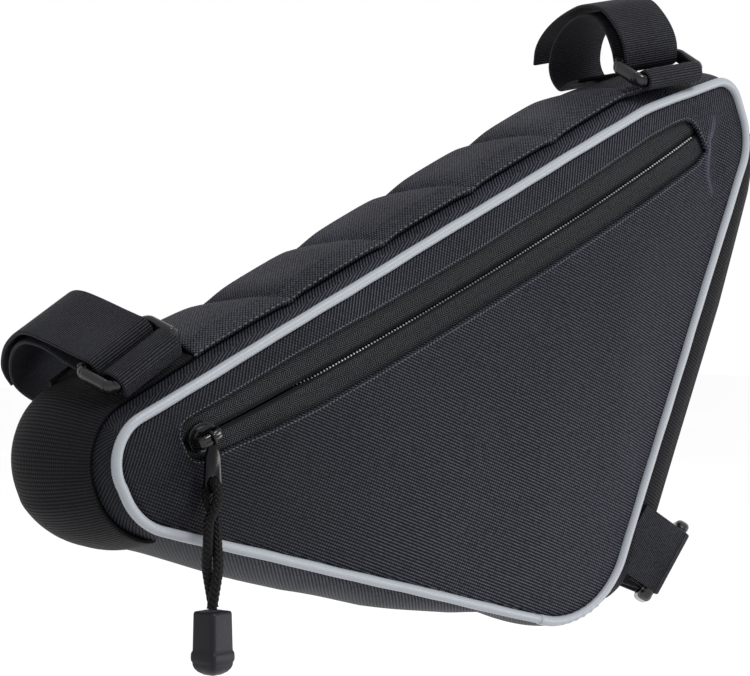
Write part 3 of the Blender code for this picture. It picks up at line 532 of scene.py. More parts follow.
def front_out(x, z):
    """How far the front panel stands in front of its seam."""
    stand, free = dome(x, z)
    slow = folds(x, z, PANEL_FOLDS) + RIPPLE * ripple(x, z)
    return stand + free * (slow + RIDGE_TALL * ridge(x, z))


def rims(loops):
    """The edges of closed loops, whose points are numbered from one loop to the next."""
    edges, base = [], 0
    for loop in loops:
        edges += [(base + i, base + (i + 1) % len(loop)) for i in range(len(loop))]
        base += len(loop)
    return edges


def cut_panel(inset, pitch, window):
    """Points and triangles of a panel cut to the outline, less its window if it has one."""
    count = round(perimeter / pitch)
    x, z, out_x, out_z = seam_at(np.arange(count) * perimeter / count)
    loops = [np.stack([x + out_x * inset, z + out_z * inset], axis=1)]
    if window is not None:
        loops.append(window)
    edges = rims(loops)
    grid_x, grid_z = np.meshgrid(np.arange(NOSE, NOSE + TOP_RUN, pitch),
                                 np.arange(LOW_POINT[1], TOP_SEAM, pitch))
    grid_x[::2] += pitch / 2
    grid_x, grid_z = grid_x.ravel(), grid_z.ravel()
    keep = edge_share(grid_x, grid_z, inset) < GRID_REACH
    if window is not None:
        keep &= far_from(window, grid_x, grid_z) > pitch * 0.6
        keep &= ~in_window(grid_x, grid_z)
        keep &= far_from(ridge_path, grid_x, grid_z) > RIDGE_MARGIN
        loops += [window_line(aside) for aside in HEM_LINES]
        loops += [ridge_path + beside(ridge_path) * aside for aside in RIDGE_LINES]
    flat = np.concatenate([*loops, np.stack([grid_x[keep], grid_z[keep]], axis=1)])
    verts, _, faces, *_ = delaunay_2d_cdt([Vector(p) for p in flat], edges, [], 0, 1e-7)
    verts = np.array([tuple(v) for v in verts])
    middles = np.array([verts[list(face)].mean(axis=0) for face in faces])
    keep = edge_share(middles[:, 0], middles[:, 1], inset) < 1.0
    if window is not None:
        keep &= ~in_window(middles[:, 0], middles[:, 1])
    return verts, [face for face, kept in zip(faces, keep) if kept]


def in_window(x, z):
    along = (x - NOSE - ZIP_START) / ZIP_LENGTH
    up, down = window_reach(along)
    above = z - zip_centre(along)[1]
    return (along > 0) & (along < WINDOW_ROWS[-1][0]) & (above < up) & (above > -down)


def walled(made, thickness):
    """Gives cloth its thickness, inwards from its face."""
    wall = made.modifiers.new("wall", "SOLIDIFY")
    wall.thickness = thickness
    wall.offset = -1.0
    return made


HEART = laid((MIDDLE[0], 0.0, MIDDLE[1]))


def sewn_panel(name, node, flat, triangles, y):
    """A panel of cloth from its flat points, its triangles and how far back each point is."""
    points = laid(np.stack([flat[:, 0], y, flat[:, 1]], axis=1))
    corners = [tuple(flat[i]) for face in triangles for i in face]
    made = walled(piece(name, points, triangles, corners, cloth_finish, HEART), CLOTH)
    fitted(made, "bag", node)
    return made


# A plain weave shows two sets of diagonal ribs. Above the zip the cloth is pulled one way and
# the steep set stands out, below it the flat set does, and both change slowly over the cloth.
cloth_finish = Finish("dark oxford cloth", 0.62, Specular_IOR_Level=0.10)
along, across = cloth_finish.metres()
slub = cloth_finish.speckle(900.0, 3.0)
cloud = cloth_finish.speckle(28.0, 3.0)
above_zip = across.ramp(WEAVE_TURN - 0.010, WEAVE_TURN + 0.004)
steep = 0.30 + above_zip * 0.48 + (cloud - 0.5) * 0.7
ribs = (along - across).wave(OXFORD_PITCH) * steep + (along + across).wave(OXFORD_PITCH) * (1 - steep)
thread = ribs * 0.5 + 0.5
worn = ((thread - 0.32) * (slub * 3.0 + 0.10) + (cloud - 0.5) * 0.20).ramp(0.05, 1.20)
# Painted shade and light: the panel's colour is darker towards the nose and lighter lower down, for
# light that falls unevenly on it.
painted_shading = along.ramp(-0.15, -0.03) * 0.42 + across.ramp(-0.06, -0.16) * 0.30 + 0.38
# Painted highlight: the crisp fold's crest is coloured lighter, as if it caught the light.
ridge_highlight = cloth_finish.node("ShaderNodeAttribute", {"attribute_name": "ridge_highlight"}, (), 2)
cloth_finish.colour(worn * painted_shading + ridge_highlight * 0.7, CLOTH_DARK, CLOTH_LIGHT)
cloth_finish.rough(0.74 - thread * 0.22)
cloth_finish.relief(thread + slub * 0.25, 0.00026)

window_edge = window_line(0.0)
flat, triangles = cut_panel(-PANEL_IN, PANEL_GRID, window_edge)
hem = np.clip(1 - far_from(window_edge, flat[:, 0], flat[:, 1]) / HEM_ROLL, 0, 1)
stand = front_out(flat[:, 0], flat[:, 1]) - HEM_ROLL * (1 - np.sqrt(1 - hem ** 2))
front_panel = sewn_panel("front_panel_cloth", "front_panel", flat, triangles, FRONT - stand)
# The crisp fold's height, kept on the panel's points for its painted highlight.
ridge_highlight = front_panel.data.attributes.new("ridge_highlight", "FLOAT", "POINT")
ridge_highlight.data.foreach_set("value", ridge(flat[:, 0], flat[:, 1]).astype(np.float32))


# Back panel. The same cloth without a window, which lies against nothing and swells a
# little as the bag fills. It is sewn to the gusset with a plain turned seam.
BACK_FOLDS = [
    ((-0.1100, -0.0600), (-0.0300, -0.1100), 0.0110, -0.0010),
    ((0.1250, -0.0600), (0.0500, -0.1100), 0.0120, -0.0009),
    ((0.0050, -0.1700), (0.0100, -0.1000), 0.0130, 0.0010),
]
BACK_RIPPLE = 0.0005
BACK_GRID = 0.0030
flat, triangles = cut_panel(0.0, BACK_GRID, None)
x, z = flat.T
stand, free = dome(x, z, 0.0)
stand = stand + free * (folds(x, z, BACK_FOLDS) + BACK_RIPPLE * ripple(x + 0.05, z))
sewn_panel("back_panel_cloth", "back_panel", flat, triangles, FRONT + depth_at(z) + stand)


# Gusset. A strip of twill cloth sewn between the two panels all the way round. It stands
# out between its seams, most at the tip and the nose, and lies flat along the bottom.
ARCH = 0.012
LIP = 0.0019
BACK_LIP = 0.0008
GUSSET_STEP = 0.0015
WOBBLE = 0.0004
# Nearest corner, share of the top edge's length from it, and the form there: height as a share
# of the arch, squareness, and how far the highest line leans to the front
GUSSET_ROWS = [
    ("nose_top", 0.00, 0.75, 2.0, 1.7), ("nose_top", 0.14, 0.60, 2.2, 1.2),
    ("nose_top", 0.24, 0.42, 2.4, 1.0), ("shoulder", 0.00, 0.54, 2.4, 1.0),
    ("tip_top", 0.00, 0.46, 2.4, 1.0), ("tip_low", 0.05, 1.18, 4.0, 1.0),
    ("tip_low", 0.20, 1.30, 6.0, 1.0), ("low", -0.14, 1.30, 6.0, 1.0),
    ("low", 0.00, 0.45, 2.0, 1.0), ("low", 0.12, 0.05, 2.0, 1.0),
    ("nose_low", -0.57, 0.12, 2.0, 1.0), ("nose_low", -0.47, 0.40, 2.0, 1.0),
    ("nose_low", -0.36, 0.66, 2.0, 1.0), ("nose_low", -0.25, 0.76, 2.0, 1.0),
    ("nose_low", -0.08, 0.60, 2.0, 1.3), ("nose_low", -0.02, 0.58, 2.0, 1.6),
    ("nose_low", 0.03, 0.92, 2.0, 1.7),
]
SLOPE_STEP = 0.03
TWILL_PITCH = 0.0011
CHEVRON_PITCH = 0.00100
CHEVRON_SPINE = 0.0040
TWILL_DARK = (0.0010, 0.0011, 0.0020)
TWILL_LIGHT = (0.047, 0.050, 0.067)


def gusset_form(run):
    """Height, squareness and lean of the gusset at runs along the outline."""
    rows = sorted(((corner_runs[name] + share * TOP_RUN) % perimeter, *form)
                  for name, share, *form in GUSSET_ROWS)
    places, *forms = zip(*rows)
    return [np.interp(np.asarray(run) % perimeter, places, form, period=perimeter) for form in forms]


def seam_span(z):
    """The gusset's front and back edges in Y at a height."""
    return FRONT + LIP, FRONT + depth_at(z) - BACK_LIP


def over_gusset(run, share, lift=0.0):
    """Points on the gusset at runs and shares of the way to the back, lifted off it."""
    run, share = np.broadcast_arrays(np.asarray(run, dtype=float), np.asarray(share, dtype=float))
    x, z, out_x, out_z = seam_at(run)
    near, far = seam_span(z)
    height, square, lean = gusset_form(run)

    def stand(place):
        side = np.abs(2 * np.clip(place, 0, 1) ** lean - 1)
        return ARCH * height * np.sqrt(np.clip(1 - side ** square, 0, 1))

    wide = (far - near) * (np.minimum(1, share + SLOPE_STEP) - np.maximum(0, share - SLOPE_STEP))
    slope = stand(share - SLOPE_STEP) - stand(share + SLOPE_STEP)
    size = np.hypot(wide, slope)
    out = stand(share) + wide / size * lift
    y = near + (far - near) * share + slope / size * lift
    return np.stack([x + out_x * out, y, z + out_z * out], axis=-1)


twill_finish = Finish("twill gusset cloth", 0.62, Specular_IOR_Level=0.14)
along, across = twill_finish.metres()
slub = twill_finish.speckle(1200.0, 3.0)
cloud = twill_finish.speckle(30.0, 3.0)
steep = (along - across * 0.85) * 0.76
shallow = (along * 0.45 - across) * 0.91
near_piping = across < CHEVRON_SPINE
on_top = (along > corner_runs["nose_top"] + 0.01) * (along < corner_runs["tip_top"])
top_rib = near_piping * shallow.rib(CHEVRON_PITCH) + (1 - near_piping) * steep.rib(CHEVRON_PITCH)
low_rib = ((along + across) * 0.707).rib(TWILL_PITCH)
rib = on_top * top_rib + (1 - on_top) * low_rib
# Painted shade: the gusset's colour darkens towards the nose, where less light falls.
place = twill_finish.node("ShaderNodeTexCoord", {}, (), 3)
painted_shading = twill_finish.node("ShaderNodeSeparateXYZ", {}, (place,)).ramp(-0.120, -0.050) * 0.72 + 0.28
worn = (rib * (slub * 1.1 + 0.15) + (cloud - 0.5) * 0.3).ramp(0.15, 1.0)
twill_finish.colour(worn * painted_shading, TWILL_DARK, TWILL_LIGHT)
twill_finish.relief(rib * 0.8 + slub * 0.3, 0.00030)

gusset_runs = even_runs(GUSSET_STEP)
gusset_shares = (1 - np.cos(math.pi * np.linspace(0, 1, 25))) / 2
face = over_gusset(gusset_runs[:, None], gusset_shares[None, :])
wobble = WOBBLE * np.sin(gusset_runs * 95)[:, None] * np.sin(math.pi * gusset_shares)[None, :]
x, z, out_x, out_z = seam_at(gusset_runs)
face[..., 0] += wobble * out_x[:, None]
face[..., 2] += wobble * out_z[:, None]
gusset = walled(skin("gusset_cloth", laid(face), twill_finish, loop=True, heart=HEART), CLOTH)
fitted(gusset, "bag", "gusset")


# Piping. A bead of satin grey reflective cloth over a cord, sewn in round the front seam.
# It puckers where it turns the low corner, and its ends meet in a butt joint beside it.
PIPING_RADIUS = 0.0017
PIPING_GREY = (0.220, 0.234, 0.257)
PIPING_SHADE = (0.155, 0.165, 0.182)
BUTT_RUN = 0.5560
PUCKER_RUN = 0.5340
PUCKER_SPREAD = 0.012
PUCKER_DEPTH = 0.00050
BUTT_HEIGHT = 0.00018
PIPING_STEP = 0.0009

piping_finish = Finish("satin grey piping", 0.40, Specular_IOR_Level=0.35)
along, around = piping_finish.metres()
grain = piping_finish.speckle(2200.0, 2.0)
smear = piping_finish.speckle(60.0, 3.0)
joint = abs(along - BUTT_RUN) < 0.0003
soiled = ((grain - 0.5) * 0.35 + (smear - 0.45) * 0.9 + joint).ramp(0.0, 0.9)
piping_finish.colour(soiled, PIPING_GREY, PIPING_SHADE)
piping_finish.rough(0.36 + grain * 0.12)
piping_finish.relief(grain, 0.00008)

piping_runs = even_runs(PIPING_STEP)
x, z, out_x, out_z = seam_at(piping_runs)
wave = 0.00008 * np.sin(piping_runs * 90) + 0.00004 * np.sin(piping_runs * 310 + 1.0)
points = laid(np.stack([x + out_x * wave, np.full_like(x, FRONT), z + out_z * wave], axis=1))
pucker = np.exp(-((piping_runs - PUCKER_RUN) / PUCKER_SPREAD) ** 2)
angles = np.linspace(0, 2 * math.pi, 20, endpoint=False)
crease = pucker * np.abs(np.sin(piping_runs * 900))
from_butt = piping_runs - BUTT_RUN
step = BUTT_HEIGHT * np.tanh(from_butt / 0.0002) * np.exp(-np.abs(from_butt) / 0.02)
radius = PIPING_RADIUS + 0.00003 * np.sin(piping_runs * 240)[:, None] - step[:, None]
radius = radius - PUCKER_DEPTH * crease[:, None] * (0.5 + 0.5 * np.cos(angles * 2 + 0.6))[None, :]
piping = tube("piping_bead", points, radius, piping_finish, sides=20, loop=True)
fitted(piping, "bag", "piping")


# Top band. A strip of lighter cloth over thin foam, sewn along both edges of the top and
# across it at equal steps, so it puffs up between its crease lines.
BAND_EDGE = 0.0072
BAND_THICK = 0.0018
BAND_LIFT = 0.0004
BAND_PUFF = 0.0034
BAND_PITCH = 0.0009
PUFF_SHARP = 4.2
PUFF_EDGE = 0.30
PUFF_END = 0.1
BAND_FROM = 0.05446
BAND_TO = 0.2945
CREASE_SLANT = 0.31
CREASE_STEPS = 5
CREASE_PITCH = 0.043848
BAND_DARK = (0.0025, 0.0026, 0.0042)
BAND_LIGHT = (0.056, 0.057, 0.075)


def band_face(runs, edge_front, edge_back, lift, count, swell=None):
    """Rows of points over the gusset between two edges, which lie in from its seams."""
    z = seam_at(runs)[1]
    near, far = seam_span(z)
    first = (FRONT + edge_front - near) / (far - near)
    last = 1 - (edge_back - BACK_LIP) / (far - near)
    ease = np.linspace(0, 1, count)
    shares = first[:, None] + (last - first)[:, None] * ease[None, :]
    if swell is not None:
        back = shares * (far - near)[:, None]
        lift = lift + swell(runs[:, None] + CREASE_SLANT * back, np.broadcast_to(ease, shares.shape))
    return over_gusset(runs[:, None], shares, lift)


def puffed(run, ease):
    """How far the foam swells between its creases and falls to its sewn edges."""
    phase = (run - BAND_FROM) / CREASE_PITCH
    swollen = 1 - np.exp(-PUFF_SHARP * np.abs(np.sin(math.pi * phase)))
    swollen = np.where(phase > CREASE_STEPS, PUFF_END, swollen)
    side = np.clip(np.sin(math.pi * ease) * 2.2, 0, 1)
    return BAND_PUFF * swollen * (PUFF_EDGE + (1 - PUFF_EDGE) * side)


band_finish = Finish("padded band cloth", 0.68, Specular_IOR_Level=0.10)
along, across = band_finish.metres()
slub = band_finish.speckle(1500.0, 3.0, 0.7)
cloud = band_finish.speckle(40.0, 3.0)
line = ((along + across) * 0.707).rib(BAND_PITCH)
cross = ((along - across) * 0.707).rib(BAND_PITCH)
worn = (line * cross * 0.75 + (slub - 0.5) * 1.6 + (cloud - 0.5) * 0.5).ramp(0.0, 1.0)
band_finish.colour(worn, BAND_DARK, BAND_LIGHT)
band_finish.relief(line * 0.5 + cross * 0.4 + slub * 0.5, 0.00028)

band_runs = np.arange(BAND_FROM, BAND_TO, 0.0010)


def over_band(lift=0.0):
    """Rows of points on the band's puffed face, or above it."""
    rise = BAND_LIFT + BAND_THICK + lift
    return laid(band_face(band_runs, BAND_EDGE, BAND_EDGE, rise, 34, puffed))


top_band = walled(skin("top_band_cloth", over_band(), band_finish, heart=HEART), BAND_THICK)
fitted(top_band, "bag", "top_band")


# Nose and side webbing. Flat black webbing with ribs across it is sewn over the gusset,
# one length round the nose and under the left strap, one along the tip's lower edge.
WEBBING_THICK = 0.0016
WEBBING_RIB = 0.0012
WEBBING_BLACK = (0.0006, 0.0006, 0.0010)
# Light tone of the worn rib tops, darker than the straps' as painted shade.
WEBBING_WORN_AND_SHADE = (0.010, 0.010, 0.013)


def ribbed_webbing(name, pitch, thread, worn):
    """Black webbing: ribs across it and fine threads along it. The light tone of its worn rib tops is
    given per copy and carries painted shade on the nose webbing and painted light on the straps.
    """
    finish = Finish(name, 0.55, Specular_IOR_Level=0.09)
    along, across = finish.metres()
    slub = finish.speckle(1600.0, 3.0)
    cloud = finish.speckle(45.0, 3.0)
    height = along.rib(pitch) * (0.45 + across.rib(thread) * 0.55)
    faded = height * (slub * 1.3 + 0.1) + (cloud - 0.5) * 0.35
    finish.colour(faded.ramp(0.08, 0.95), WEBBING_BLACK, worn)
    finish.rough(0.72 - height * 0.20)
    finish.relief(height + slub * 0.2, 0.00032)
    return finish


def webbing_band(name, node, start, end, low_end, edge_front, edge_back):
    """A strip over the gusset, sewn down flat into the seam at its low end."""
    runs = np.arange(start, end, 0.0012)
    free = np.clip(np.abs(runs - low_end) / 0.007, 0, 1) ** 0.5
    face = band_face(runs, edge_front, edge_back, ((BAND_LIFT + WEBBING_THICK) * free)[:, None], 20)
    made = walled(skin(name, laid(face), webbing_finish, heart=HEART), WEBBING_THICK)
    fitted(made, "bag", node)
    return made


webbing_finish = ribbed_webbing("ribbed black webbing", WEBBING_RIB, 0.0009, WEBBING_WORN_AND_SHADE)
nose_end = corner_runs["nose_low"] - 0.0132 - perimeter
side_end = corner_runs["low"] - 0.0102
webbing_band("nose_webbing_strip", "nose_webbing", nose_end, BAND_FROM - 0.0004, nose_end,
             BAND_EDGE * 1.12, BAND_EDGE)
webbing_band("side_webbing_strip", "side_webbing", corner_runs["tip_low"] - 0.0022, side_end, side_end,
             0.0010, 0.0045)


# Zip. Two woven black tapes lie behind the window, with the nylon coil between them. The
# coil's turns are small glossy loops, coloured near white as painted highlights, that show as a
# row of dots where the tapes part.
TAPE_THICK = 0.001
TAPE_WIDTH = 0.0100
TAPE_GAP = 0.0003
TAPE_BACK = 0.0023
TAPE_DIP = 0.0004
TAPE_CHEVRON = 0.0018
TAPE_BLACK = (0.0010, 0.0012, 0.0013)
TAPE_LIGHT = (0.034, 0.037, 0.040)
COIL_PITCH = 0.00135
COIL_BEAD = (0.00046, 0.0007, 0.0010)
COIL_OUT = 0.0006
# The coil lies deeper at its start, where the closed tapes meet over it
COIL_SHARES = (0.006, 0.962)
COIL_SUNK = 0.0036
COIL_RISES = (0.16, 0.20)


def tape_y(x, z):
    """Y of the tapes' outer faces, just behind the panel's cloth."""
    return FRONT - dome(x, z)[0] + TAPE_BACK


tape_finish = Finish("woven zip tape", 0.68, Specular_IOR_Level=0.10)
along, across = tape_finish.metres()
slant = (along + abs(across % (2 * TAPE_CHEVRON) - TAPE_CHEVRON) * 1.1).rib(0.0010)
slub = tape_finish.speckle(1800.0, 3.0)
# Painted shade: the tapes darken towards the coil, in the gap where they part.
painted_coil_shade = across.ramp(0.0007, 0.0019) * 0.95 + 0.05
worn = (slant * slant * (slub * 1.4 + 0.05)).ramp(0.10, 1.00)
tape_finish.colour(worn * painted_coil_shade, TAPE_BLACK, TAPE_LIGHT)
tape_finish.relief(slant * 0.8 + slub * 0.3, 0.00026)
for node, side in (("zip_tape_upper", 1), ("zip_tape_lower", -1)):
    x, z = zip_centre(np.linspace(-0.006, 1.006, 150))
    from_coil = np.linspace(0, 1, 9)
    z = z[:, None] + side * (TAPE_GAP + (TAPE_WIDTH - TAPE_GAP) * from_coil)
    x = np.broadcast_to(x[:, None], z.shape)
    face = np.stack([x, tape_y(x, z) + TAPE_DIP * (1 - from_coil) ** 2, z], axis=-1)
    tape = walled(skin(node + "_woven", laid(face), tape_finish, heart=HEART), TAPE_THICK)
    fitted(tape, "bag", node)

# Painted highlight: the glossy coil's turns are coloured near white, brighter in patches, for light
# glinting on them.
coil_finish = Finish("glossy nylon coil", 0.34)
grain = coil_finish.speckle(4000.0)
painted_coil_glint = coil_finish.speckle(22.0).ramp(0.40, 0.60) * 0.7 + 0.3
coil_finish.colour(grain * painted_coil_glint, (0.04, 0.04, 0.042), (0.80, 0.80, 0.82))


def repeat_tree():
    """Geometry Nodes that put small long beads at equal steps along lines."""
    tree = bpy.data.node_groups.new("beads along lines", "GeometryNodeTree")
    for name, kind in (("Geometry", "Geometry"), ("Pitch", "Float"), ("Bead size", "Vector"),
                       ("Material", "Material")):
        tree.interface.new_socket(name, in_out="INPUT", socket_type="NodeSocket" + kind)
    tree.interface.new_socket("Geometry", in_out="OUTPUT", socket_type="NodeSocketGeometry")
    new = tree.nodes.new
    given, result = new("NodeGroupInput"), new("NodeGroupOutput")
    curve, steps = new("GeometryNodeMeshToCurve"), new("GeometryNodeResampleCurve")
    steps.mode = "LENGTH"
    tangent, facing = new("GeometryNodeInputTangent"), new("GeometryNodeInputNamedAttribute")
    facing.data_type = "FLOAT_VECTOR"
    facing.inputs["Name"].default_value = "facing"
    ahead, upright = new("FunctionNodeAlignRotationToVector"), new("FunctionNodeAlignRotationToVector")
    ahead.axis = "X"
    upright.axis = "Z"
    upright.pivot_axis = "X"
    bead, row = new("GeometryNodeMeshUVSphere"), new("GeometryNodeInstanceOnPoints")
    for socket, value in (("Segments", 6), ("Rings", 4), ("Radius", 0.5)):
        bead.inputs[socket].default_value = value
    whole, coloured = new("GeometryNodeRealizeInstances"), new("GeometryNodeSetMaterial")
    for source, out, target, socket in (
            (given, "Geometry", curve, "Mesh"), (curve, "Curve", steps, "Curve"),
            (given, "Pitch", steps, "Length"), (tangent, "Tangent", ahead, "Vector"),
            (ahead, "Rotation", upright, "Rotation"), (facing, "Attribute", upright, "Vector"),
            (steps, "Curve", row, "Points"), (bead, "Mesh", row, "Instance"),
            (upright, "Rotation", row, "Rotation"), (given, "Bead size", row, "Scale"),
            (row, "Instances", whole, "Geometry"), (whole, "Geometry", coloured, "Geometry"),
            (given, "Material", coloured, "Material"), (coloured, "Geometry", result, "Geometry")):
        tree.links.new(source.outputs[out], target.inputs[socket])
    return tree


beads_along = repeat_tree()


def beads(name, lines, facings, pitch, size, finish):
    """Beads along lines of points as one mesh, flat towards each line's or point's facing."""
    edges, base = [], 0
    for line in lines:
        edges += [(base + i, base + i + 1) for i in range(len(line) - 1)]
        base += len(line)
    mesh = bpy.data.meshes.new(name)
    mesh.from_pydata([tuple(point) for line in lines for point in line], edges, [])
    towards = [np.broadcast_to(facing, np.shape(line)) for facing, line in zip(facings, lines)]
    facing = mesh.attributes.new("facing", "FLOAT_VECTOR", "POINT")
    facing.data.foreach_set("vector", np.concatenate(towards).astype(np.float32).ravel())
    guide = placed(name + "_line", mesh)
    step = guide.modifiers.new("beads", "NODES")
    step.node_group = beads_along
    given = {"Pitch": pitch, "Bead size": size, "Material": finish.material}
    for item in beads_along.interface.items_tree:
        if item.in_out == "INPUT" and item.name in given:
            step[item.identifier] = given[item.name]
    bpy.context.view_layer.update()
    whole = bpy.data.meshes.new_from_object(guide.evaluated_get(bpy.context.evaluated_depsgraph_get()))
    whole.name = name
    bpy.data.objects.remove(guide, do_unlink=True)
    whole.shade_smooth()
    return placed(name, whole)


alongs = np.linspace(*COIL_SHARES, 300)
x, z = zip_centre(alongs)
sunk = np.interp(alongs, COIL_RISES, (COIL_SUNK, 0))
coil_line = laid(np.stack([x, tape_y(x, z) - COIL_OUT + sunk, z], axis=1))
coil = beads("zip_coil_turns", [coil_line], [(0, -1, 0)], COIL_PITCH, COIL_BEAD, coil_finish)
fitted(coil, "bag", "zip_coil")


# Thread. Charcoal polyester stitches hold the window's hem and the band's edges and creases.
# Each stitch is a short bead of thread pulled into the cloth.
HEM_STITCH = (0.0011, 0.00032, 0.00026)
HEM_PITCH = 0.0015
BAND_STITCH = (0.0017, 0.00050, 0.00042)
BAND_STITCH_PITCH = 0.0024


def sewn(name, lines, facings, pitch, size, thread, roughness, dark, light):
    """A row of stitches along each line, in a thread of its own."""
    finish = Finish(thread, roughness, Sheen_Weight=0.1)
    finish.colour(finish.speckle(3500.0), dark, light)
    made = beads(name, lines, facings, pitch, size, finish)
    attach(made, "bag")


hem_line = window_line(0.0012)
hem_line = np.concatenate([hem_line, hem_line[:1]])
x, z = hem_line.T
line = laid(np.stack([x, FRONT - front_out(x, z) + 0.00005, z], axis=-1))
sewn("window_stitches", [line], [(0, -1, 0)], HEM_PITCH, HEM_STITCH, "grey thread", 0.55,
     (0.018, 0.018, 0.022), (0.095, 0.095, 0.110))

face, above = over_band(), over_band(0.01)
lines = [face[:, 0], face[:, -1]]
facings = [above[:, 0] - face[:, 0], above[:, -1] - face[:, -1]]
for k in range(1, CREASE_STEPS):
    run = BAND_FROM + CREASE_PITCH * k
    near, far = seam_span(seam_at(run)[1])
    margin = (BAND_EDGE + 0.0015 - LIP) / (far - near)
    shares = np.linspace(margin, 1 - margin, 30)
    runs = run - CREASE_SLANT * shares * (far - near)
    lines.append(laid(over_gusset(runs, shares, BAND_LIFT + BAND_THICK + 0.00012)))
    facings.append(laid(over_gusset(runs, shares, 0.01)) - lines[-1])
sewn("band_stitches", lines, facings, BAND_STITCH_PITCH, BAND_STITCH, "charcoal thread", 0.60,
     (0.012, 0.012, 0.015), (0.075, 0.075, 0.088))


# Slider and pull tab. A cast black slider runs on the coil, with a raised bridge, and a
# narrow plated tab hangs from it by a round eye.
SLIDER_AT = zip_centre(0.0062 / ZIP_LENGTH)
SLIDER_LONG = 0.0108
SLIDER_WIDE = 0.0080
SLIDER_BODY = (-0.0286, -0.0270, 0.0005)
SLIDER_CAP = (-0.0302, -0.0284, 0.0006)
BRIDGE_ROUTE = [
    (-0.0040, -0.0292, 0), (-0.0040, -0.0318, 0), (-0.0034, -0.0331, 0), (-0.0018, -0.03345, 0),
    (0.0018, -0.03345, 0), (0.0034, -0.0331, 0), (0.0040, -0.0318, 0), (0.0040, -0.0292, 0),
]
TAB_WIDE = 0.0062
TAB_NECK = 0.0030
TAB_FROM = -0.0021
TAB_SHOULDER = 0.004
TAB_TO = -0.0172
TAB_THICK = 0.0012
TAB_EDGE = 0.00028
TAB_HOLE = 0.0022
EYE_RADIUS = 0.0019
EYE_WIRE = 0.0006
metal_finish = Finish("glossy black metal", 0.12, Specular_IOR_Level=0.30)
smear = metal_finish.speckle(220.0, 3.0)
metal_finish.colour(smear, (0.0008, 0.0008, 0.001), (0.006, 0.006, 0.007))
metal_finish.rough(0.08 + smear * 0.14)
tab_finish = Finish("black plated tab", 0.16, Specular_IOR_Level=0.14)
smear = tab_finish.speckle(220.0, 3.0)
tab_finish.colour(smear, (0.0005, 0.0005, 0.0007), (0.003, 0.003, 0.004))


def slab(name, outline, low, high, bevel, finish, place, hole=None):
    """A plate with rounded edges, cut to an outline in X and Z with its faces along Y."""
    loops = [outline] + ([hole] if hole is not None else [])
    points = [Vector(point) for loop in loops for point in loop]
    whole = list(range(len(outline)))
    verts, _, faces, *_ = delaunay_2d_cdt(points, rims(loops), [whole], 1, 1e-8)
    if hole is not None:
        centre = np.mean(hole, axis=0)
        reach = np.max(np.hypot(*(np.asarray(hole) - centre).T))
        middles = [np.mean([verts[i] for i in face], axis=0) for face in faces]
        faces = [face for face, middle in zip(faces, middles)
                 if math.dist(middle, centre) > reach * 0.97]
    mesh = bpy.data.meshes.new(name)
    mesh.from_pydata([tuple(place(v.x, low, v.y)) for v in verts], [], [tuple(f) for f in faces])
    work = bmesh.new()
    work.from_mesh(mesh)
    grown = bmesh.ops.extrude_face_region(work, geom=work.faces[:])
    shift = Vector(place(0, high, 0)) - Vector(place(0, low, 0))
    moved = [each for each in grown["geom"] if isinstance(each, bmesh.types.BMVert)]
    bmesh.ops.translate(work, vec=shift, verts=moved)
    bmesh.ops.recalc_face_normals(work, faces=work.faces)
    work.to_mesh(mesh)
    work.free()
    mesh.materials.append(finish.material)
    made = placed(name, mesh)
    soften = made.modifiers.new("soft edges", "BEVEL")
    soften.width = bevel
    soften.segments = 3
    soften.limit_method = "ANGLE"
    soften.angle_limit = math.radians(40)
    mesh.shade_smooth()
    return made


def in_bag(x, y, z):
    """A place given from the slider's middle, along the bag's own axes."""
    return laid((x + SLIDER_AT[0], y, z + SLIDER_AT[1]))


def on_hinge(x, y, z):
    """A place given from the pull's hinge."""
    return HINGE + np.array((x, y, z))


def rounded(length, width, radius, steps=6):
    """Points round a rectangle with round corners."""
    points = []
    for corner, (side_x, side_y) in enumerate(((1, 1), (-1, 1), (-1, -1), (1, -1))):
        for step in range(steps + 1):
            angle = math.pi / 2 * (corner + step / steps)
            points.append((side_x * (length / 2 - radius) + radius * math.cos(angle),
                           side_y * (width / 2 - radius) + radius * math.sin(angle)))
    return points


slider_outline = []
for angle in np.linspace(0, 2 * math.pi, 40, endpoint=False):
    x = SLIDER_LONG / 2 * math.copysign(abs(math.cos(angle)) ** 0.7, math.cos(angle))
    z = SLIDER_WIDE / 2 * math.copysign(abs(math.sin(angle)) ** 0.7, math.sin(angle))
    slider_outline.append((x, z * (1.0 - 0.12 * math.cos(angle * 2))))
cap_outline = [(x * 0.86, z * 0.80) for x, z in slider_outline]
bridge_path = laid(smooth(BRIDGE_ROUTE, 6) + np.array((SLIDER_AT[0], 0, SLIDER_AT[1])))
flattened = 0.0008 + 0.0010 * np.cos(np.linspace(0.0, 2 * math.pi, 16, endpoint=False)) ** 2
for made in (slab("slider_body", slider_outline, *SLIDER_BODY, metal_finish, in_bag),
             slab("slider_cap", cap_outline, *SLIDER_CAP, metal_finish, in_bag),
             tube("slider_bridge", bridge_path, flattened, metal_finish, side=laid((0, 0, 1)))):
    fitted(made, "bag", "zip_slider")

